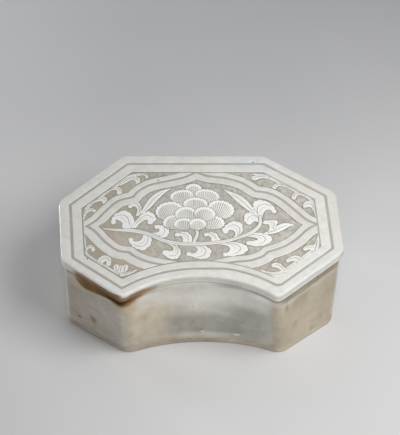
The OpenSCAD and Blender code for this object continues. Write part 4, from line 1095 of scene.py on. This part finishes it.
# Corner sprays: a vine along the border, with half widths, and the hooked leaves that grow from it
BACK_LEFT_VINE = [[-104.4, 4, 0.5], [-103.4, 14, 1.2], [-101, 21, 1.5], [-96, 27.5, 1.5], [-89, 34.8, 1.6],
                  [-81, 42.6, 1.6], [-73, 50.2, 1.8], [-66, 55.8, 2], [-58, 59.2, 1.5], [-50, 60.4, 0.8]]
BACK_LEFT_HOOKS = [
    [[[-104.5, 9.5], [-103.6, 16], [-100, 19.2], [-95.5, 18.8], [-93.6, 16], [-94.6, 13.6]],
     [[-103, 9.5], [-101.6, 13.6], [-98.6, 16], [-96.4, 15.8], [-95.6, 14.6], [-95.2, 13.8]]],
    [[[-99, 25.5], [-93, 31.2], [-88, 33.4], [-84.2, 31], [-84.4, 27.6], [-87, 24.8]],
     [[-99, 24.4], [-94, 26.8], [-90.6, 28], [-88.8, 27.4], [-88.4, 25.8], [-88, 25]]],
    [[[-86, 37.5], [-80.5, 43.4], [-75.5, 44.8], [-71.6, 42.2], [-71.4, 38.4], [-74, 35]],
     [[-85.5, 36.8], [-81, 40.6], [-77.4, 41.4], [-75.4, 39.6], [-75, 37], [-75, 35.4]]],
    [[[-73.5, 48], [-67, 54.4], [-60.5, 57.2], [-55.6, 55.2], [-55.4, 51.6], [-58.4, 48]],
     [[-73, 46.4], [-67, 50.4], [-62.4, 53.2], [-59.4, 52], [-58.8, 50], [-59, 48.4]]],
    [[[-58, 60.6], [-52, 60.8], [-48.4, 59.6], [-47.6, 57], [-49, 55]],
     [[-58, 58.8], [-53, 58.8], [-50.6, 57.8], [-50, 56.4], [-50, 55.2]]],
]
BACK_RIGHT_VINE = [[103.8, 5, 0.6], [102.6, 16, 1.2], [101.2, 25, 1.3], [97.4, 31.4, 1.3], [91, 36.4, 1.5],
                   [83, 42.4, 1.6], [74, 48.6, 1.7], [66, 54, 1.8], [58, 58, 1.8], [48, 60.2, 0.8]]
BACK_RIGHT_HOOKS = [
    [[[102.4, 16], [101, 24], [97.6, 28], [94.4, 27.4], [92, 24.4], [92.2, 20.6]],
     [[100.4, 17], [99.4, 20], [97, 21], [95.4, 20.8], [94, 20.6], [93, 20.3]]],
    [[[95, 34.4], [89, 38.6], [84.4, 37.8], [82.4, 34.4], [82.6, 30.4]],
     [[93.6, 33.4], [89, 35.4], [87, 34.4], [86.2, 32.2], [83.6, 30.2]]],
    [[[79, 45.2], [72.4, 48.6], [67.4, 48.4], [65.2, 45.4], [65, 41.6]],
     [[78, 43.8], [73, 45.8], [69.8, 45.6], [68.8, 43.8], [67, 41.8]]],
    [[[62.4, 57], [55, 58.8], [48.8, 58.4], [46, 56.2], [47.6, 53.6]],
     [[62, 54.8], [57, 55.4], [53.8, 55], [51.8, 53.6], [49.2, 52.8]]],
]
FRONT_LEFT_VINE = [[-103.4, -10, 0.5], [-102.4, -18, 1.2], [-101.6, -26, 1.4], [-99.4, -33, 1.2],
                   [-94.2, -37.8, 1], [-86.4, -43.8, 1], [-77.6, -50.4, 1], [-71.2, -55.3, 0.8]]
FRONT_LEFT_HOOKS = [
    [[[-101.6, -30], [-100.6, -25.4], [-97.6, -22.8], [-94.2, -24], [-92.6, -27], [-93.2, -29.8]],
     [[-100, -30.6], [-98.8, -27.4], [-97, -26.4], [-95.8, -27.2], [-95.4, -28.8], [-94.8, -30]]],
    [[[-90.4, -46], [-89.8, -40], [-87.2, -35.8], [-82.8, -34.6], [-79, -36.8], [-77.8, -41], [-78.8, -45.4]],
     [[-86, -49], [-85.4, -44.6], [-84.4, -42], [-83, -41.2], [-82, -42.2], [-81.6, -44], [-80.8, -46]]],
    [[[-72, -54], [-75.6, -50.4], [-75.4, -46.4], [-72.6, -44.4]],
     [[-69, -54], [-69.6, -50.6], [-70.4, -47.4], [-71.4, -45]]],
    [[[-70, -54.4], [-68.4, -49.6], [-66.6, -45.6], [-64.4, -44.6]],
     [[-66, -54.4], [-63.8, -51], [-62.8, -47.6], [-63.6, -45.2]]],
    [[[-72, -54], [-71.4, -50], [-70.2, -47], [-68.4, -46]],
     [[-66.8, -54], [-66.4, -51], [-66.8, -48.6], [-67.8, -46.4]]],
    [[[-71, -55], [-65, -53.6], [-60, -51.8], [-55, -50]],
     [[-69, -58], [-64, -56.4], [-60, -54.6], [-55, -51]]],
]
FRONT_LEFT_BULBS = [[-94.2, -28.6, 1.6], [-80, -44.2, 2.1], [-73, -46.6, 2.2], [-68.8, -48, 2.2],
                    [-64.8, -46.6, 1.8]]
FRONT_RIGHT_VINE = [[104.4, -10, 0.5], [103.4, -18, 1.3], [100.6, -27, 1.8], [95.6, -31.6, 1.8],
                    [88.6, -37.8, 1.5], [80, -45.2, 1.5], [72, -51.6, 1.4], [66, -55.4, 0.8]]
FRONT_RIGHT_HOOKS = [
    [[[103.6, -13.6], [101.2, -19], [99.4, -25], [97.6, -32]],
     [[104.8, -14], [104.4, -20], [103.4, -26], [100, -33]]],
    [[[102, -18], [99.6, -22.4], [95.6, -22.8], [91.8, -24.4], [90, -27.8]],
     [[100, -31], [98, -29.4], [95.6, -28], [93.4, -28.2], [91.4, -29.2]]],
    [[[91, -41], [87.6, -36.4], [83.4, -34.2], [79.4, -35.6], [76, -38], [74.4, -41]],
     [[86, -45], [84, -42.6], [82, -41], [79.6, -40.8], [77.8, -41.4], [76, -42.6]]],
    [[[76, -50.4], [72.4, -47], [69.8, -43.6], [65.6, -42.4], [61.8, -44.2]],
     [[71, -53.5], [69, -50.6], [67, -48.6], [64.6, -47.8], [62.4, -47.4]]],
    [[[78, -49], [70, -51.6], [62, -53], [52, -50]], [[76, -53], [68, -59], [60, -58], [52, -53]]],
]
FRONT_RIGHT_BULBS = [[91.8, -27.2, 2], [83.2, -36.6, 2.2], [76.2, -40.4, 1.9], [63.8, -45.4, 2.3]]

# Round tips of the leaves: middle and radius
BACK_LEFT_BULBS = [[-94.6, 16, 1.8], [-86, 27, 2.8], [-73.4, 38.2, 2.4], [-57.2, 51.6, 2.3], [-49, 56.6, 1.4]]
BACK_RIGHT_BULBS = [[94, 22.4, 2.2], [84, 32, 2.3], [66.6, 43.6, 2.0], [48.6, 55.2, 2.2]]
LEFT_BULBS = [[-77.4, 3.4, 2.3], [-63.2, 21.6, 1.9], [-44.8, 3.2, 2.6], [-39, -2.2, 2.2], [-61.4, -16.8, 2.2]]
LOWER_BULBS = [[-30.6, -31.6, 3.0], [-10.2, -33, 2.3], [21.8, -33.4, 2.2], [-20.6, -11, 2.1], [4.8, -11, 1.9]]
RIGHT_BULBS = [[22.2, -7.4, 2.5], [42.2, -20.6, 2.2], [43.4, 3, 2.5], [65.8, 16, 2.2], [58.2, 3.2, 2.3],
               [63, 3.6, 2.0], [67, 3.6, 1.9]]


def petal_depth(points, petal):
    """Signed distance along the ray from a petal's middle: its edge is an ellipse pressed into scallops."""
    centre = placed([petal[:2]])[0]
    a = np.radians(petal[4])
    w = points - centre
    x = (w[:, 0] * np.cos(a) + w[:, 1] * np.sin(a)) / petal[2]
    y = (w[:, 1] * np.cos(a) - w[:, 0] * np.sin(a)) / petal[3]
    r = np.maximum(np.hypot(x, y), 1e-6)
    edge = 1.03 - SCALLOP_DEPTH * (1 - np.abs(np.sin(np.arctan2(y, x) * SCALLOPS / 2)))
    return (edge - r) * np.linalg.norm(w, axis=1) / r, x, y


def bloom_depth(points, grow):
    """Signed distance to all petals together, grown by a margin."""
    return np.max([petal_depth(points, p)[0] for p in PETALS], axis=0) + grow


def stems_depth(points):
    return np.maximum(stalk_depth(points, STEM), stalk_depth(points, FLOWER_STALK))


LOBE_LENGTH = 6.2
LEAF_N = 90
VEIN_W = 0.36
STEM_LINE_W = 0.34


def leaf_lines(edges, lobes):
    """A leaf's loop, with notches that part its outer edge into uneven lobes, and lines that run at shares of the
    way from its outer to its inner edge."""
    outer, inner = (evenly(through(placed(e), 10), LEAF_N) for e in edges)
    across = inner - outer
    width = np.maximum(np.linalg.norm(across, axis=1), 1e-6)
    run = along(outer)
    teeth = max(1, round(run[-1] / LOBE_LENGTH))
    u = run / run[-1]
    pace = u + 0.045 * np.sin(2 * np.pi * u * 1.7 + outer[0, 0])
    notch = (1 - np.abs(np.sin(np.pi * teeth * pace))) ** 2 * smooth(0.12, 0.3, u) * smooth(0.99, 0.86, u)
    lobed = outer + across * (notch * np.minimum(lobes, 0.3 * width) / width)[:, None]
    loop = np.concatenate([lobed, inner[::-1]])

    def vein(share, start, stop):
        return (outer + across * share)[int(LEAF_N * start):int(LEAF_N * stop)]
    return loop, vein


def add_leaf(carving, edges, veins, lobes):
    """A leaf's shape, with each vein's share across, start and end along the leaf, and strength."""
    loop, vein = leaf_lines(edges, lobes)
    on = np.flatnonzero(near_box(carving.points, loop, 3))
    depth = np.full(len(carving.points), OUTSIDE)
    depth[on] = loop_depth(carving.points[on], loop)
    carving.add(depth)
    for share, start, stop, strength in veins:
        carving.incise(vein(share, start, stop), VEIN_W, strength)


LEAF_VEINS = [(0.42, 0.04, 0.86, 1.0), (0.7, 0.2, 0.66, 0.6)]
HOOK_VEINS = [(0.4, 0.08, 0.9, 0.95)]
SPEAR_VEINS = [(0.5, 0.0, 0.88, 1.0)]


def bulbs_depth(points, bulbs):
    """Signed distance to the round tips, each a circle given by its middle and radius."""
    at = placed(bulbs)
    return (at[:, 2] - np.linalg.norm(points[:, None] - at[:, :2], axis=-1)).max(1)


def leaf_scroll(leaves, spears, bulbs):
    """Leaves over each other, cut free of the stems and the bloom, within the panel's ground."""
    def carve(points):
        c = Carving(points, 0.65)
        for k, edges in enumerate(leaves):
            add_leaf(c, edges, SPEAR_VEINS if k in spears else LEAF_VEINS, 0 if k in spears else 1.1)
        c.add(bulbs_depth(points, bulbs), False)
        c.keep(-stems_depth(points) - FINE_LINE_W / 2)
        c.keep(-bloom_depth(points, PETAL_GAP))
        c.keep(ground_depth(points))
        return c
    return carve


def stems(points):
    """The scroll's stem and the flower's stalk, each with a line along its middle."""
    c = Carving(points, 0.35)
    c.add(stems_depth(points))
    c.incise(through(placed(STEM), 8)[8:-8, :2], STEM_LINE_W, 0.7)
    c.keep(-bloom_depth(points, PETAL_GAP))
    c.keep(ground_depth(points))
    return c


def bloom(points):
    """Petals over each other, each cut free of those in front. Comb lines fan out from under each petal."""
    c = Carving(points)
    depths = [petal_depth(points, p) for p in [BLOOM_HEART] + PETALS]
    for k, (petal, (depth, x, y)) in enumerate(zip([BLOOM_HEART] + PETALS, depths)):
        ahead = np.max([d[0] for d in depths[k + 1:]] + [np.full(len(points), OUTSIDE)], axis=0)
        seen = np.minimum(depth, -ahead - PETAL_CUT)
        reach = COMB_REACH * petal[3]
        fan = np.arctan2(x * petal[2], y * petal[3] + reach) * reach / COMB_PITCH
        tooth = np.floor(fan + 0.5)
        strength = 0.8 + 0.2 * np.sin(tooth * 12.9898 + k * 4.1)
        upper = smooth(-0.55, 0.3, y)
        comb = bell(fan, tooth, COMB_W) * strength * smooth(-1, 1, depth - 0.2 - 2.3 * upper)
        shadow = bell(ahead, -PETAL_CUT, SHADOW_W)
        c.cut = np.where(seen > 0, np.maximum(comb, shadow), c.cut)
        c.depth = np.maximum(c.depth, seen)
        plain = 0.2 + 0.5 * smooth(-2, 16, points[:, 0])
        c.thick = np.where(seen > 0, plain + (1 - plain) * upper * smooth(3.8, 1.6, depth), c.thick)
        c.rise = np.where(seen > 0, -0.16 * smooth(0.55, -0.7, y), c.rise)
    c.incise(through(placed([[-6.4, 30.4], [-6.2, 26], [-6.4, 21.4]]), 6), 0.45, 0.95)
    c.keep(ground_depth(points))
    return c


def spray(vine, hooks, bulbs):
    """A vine and its hooked leaves with round tips, within the field and clear of the panel's frame."""
    def carve(points):
        c = Carving(points, 0.3)
        c.add(stalk_depth(points, vine))
        for edges in hooks:
            add_leaf(c, edges, HOOK_VEINS, 0.5)
        c.add(bulbs_depth(points, bulbs), False)
        c.incise(through(placed(vine), 8)[6:-6, :2], STEM_LINE_W, 0.8)
        c.keep(field_depth(points))
        clear = LINE_W / 2 + FINE_LINE_W + band_width(points, FRAME_OUTER)
        c.keep(-panel_depth(points) - clear)
        return c
    return carve


def frame_band(side, widths):
    """A band of the panel's frame: from the lobed line by the band's width, to the inside for side 1 and to the
    outside for -1, within the field."""
    def carve(points):
        c = Carving(points)
        off = side * panel_depth(points) - LINE_W / 2
        c.add(np.minimum(off - WORN, band_width(points, widths) - off), False)
        c.keep(field_depth(points))
        return c
    return carve


LEAF_STEP = 0.34
# Each carved piece: its name, node and shape, its box on the face and the step of its grid
CARVED = [
    ("frame_outer_slip", "frame_outer_band", frame_band(-1, FRAME_OUTER), (-106, 107, -56, 62), 0.45),
    ("frame_inner_slip", "frame_inner_band", frame_band(1, FRAME_INNER), (-101, 104, -50, 62), 0.45),
    ("peony_petals", "peony_bloom", bloom, (-43, 34, -12, 52), 0.3),
    ("scroll_stem", "peony_stem", stems, (-88, 57, -27, 13), 0.3),
    ("left_leaves", "left_leaf_scroll", leaf_scroll(LEFT_LEAVES, (1,), LEFT_BULBS),
     (-81, -24, -32, 45), LEAF_STEP),
    ("lower_leaves", "lower_leaf_scroll", leaf_scroll(LOWER_LEAVES, (), LOWER_BULBS),
     (-35, 45, -42, -5), LEAF_STEP),
    ("right_leaves", "right_leaf_scroll", leaf_scroll(RIGHT_LEAVES, (2, 6), RIGHT_BULBS),
     (17, 87, -28, 44), LEAF_STEP),
    ("back_left_vine", "back_left_spray", spray(BACK_LEFT_VINE, BACK_LEFT_HOOKS, BACK_LEFT_BULBS),
     (-106, -45, 1, 63), LEAF_STEP),
    ("back_right_vine", "back_right_spray", spray(BACK_RIGHT_VINE, BACK_RIGHT_HOOKS, BACK_RIGHT_BULBS),
     (44, 106, 3, 63), LEAF_STEP),
    ("front_left_vine", "front_left_spray", spray(FRONT_LEFT_VINE, FRONT_LEFT_HOOKS, FRONT_LEFT_BULBS),
     (-106, -53, -60, -8), LEAF_STEP),
    ("front_right_vine", "front_right_spray", spray(FRONT_RIGHT_VINE, FRONT_RIGHT_HOOKS, FRONT_RIGHT_BULBS),
     (50, 108, -60, -8), LEAF_STEP),
]


OUTLINE_W = 0.8


def cut_outline(points):
    """1 where the ground meets a carved shape, a bell curve of the distance to it further out."""
    depth = np.full(len(points), OUTSIDE)
    for _, _, shape, box, _ in CARVED:
        on = np.flatnonzero(near_box(points, np.array(box).reshape(2, 2).T, 2))
        depth[on] = np.maximum(depth[on], shape(points[on]).depth)
    return bell(np.minimum(depth, 0), 0, OUTLINE_W)


headrest()
for name, node, shape, box, step in CARVED:
    relief(name, node, shape, box, step)

# ---- Floor, light and camera
floor_mesh = bpy.data.meshes.new("floor")
floor_mesh.from_pydata([(-4, -4, 0), (4, -4, 0), (4, 4, 0), (-4, 4, 0)], [], [(0, 1, 2, 3)])
floor = bpy.data.objects.new("floor", floor_mesh)
bpy.context.scene.collection.objects.link(floor)
paper = Finish("pale_floor")
paper.colour = paper.patches(3, 3, (0.3, (0.60, 0.60, 0.61)), (0.7, (0.63, 0.63, 0.635)))
floor_mesh.materials.append(paper.set(Roughness=0.7))

world = bpy.data.worlds.new("studio")
bpy.context.scene.world = world
world.use_nodes = True
sky = world.node_tree.nodes["Background"].inputs
sky["Color"].default_value = (0.93, 0.95, 1.0, 1)
sky["Strength"].default_value = 0.115


def lamp(name, place, aim, size, power, colour):
    """A soft square light at a place, turned to face a point."""
    light = bpy.data.lights.new(name, "AREA")
    light.shape = "SQUARE"
    light.size = size
    light.energy = power
    light.color = colour
    obj = bpy.data.objects.new(name, light)
    bpy.context.scene.collection.objects.link(obj)
    way = np.array(aim) - np.array(place)
    flat = np.hypot(way[0], way[1])
    obj.location = place
    obj.rotation_euler = (np.arctan2(flat, -way[2]), 0, np.arctan2(-way[0], way[1]))


lamp("key", (0.28, -0.15, 0.56), (0.02, 0, 0.08), 0.35, 3.15, (1.0, 0.995, 0.985))
lamp("front", (-0.02, -1.35, 0.42), (0, 0, 0.05), 0.6, 6.8, (1.0, 0.98, 0.95))
lamp("back", (-0.3, 0.9, 1.0), (0, 0, 0.08), 0.8, 2.1, (0.92, 0.97, 1.0))
lamp("left", (-0.9, 0.62, 0.12), (0, 0, 0.05), 0.22, 8.0, (1.0, 1.0, 1.0))

bpy.context.scene.view_settings.view_transform = "Standard"

# The picture is 400 x 435, and the sensor's width lies along its longer side. The focal length is in pixels.
FOCAL, LONG_SIDE, SENSOR = 1600, 435, 36
camera = bpy.data.cameras.new("camera")
camera.lens = SENSOR * FOCAL / LONG_SIDE
camera.sensor_width = SENSOR
view = bpy.data.objects.new("camera", camera)
bpy.context.scene.collection.objects.link(view)
view.location = (0.0009, -0.96816, 1.1343)
view.rotation_euler = (np.radians(43), 0, np.radians(0.05))
bpy.context.scene.camera = view
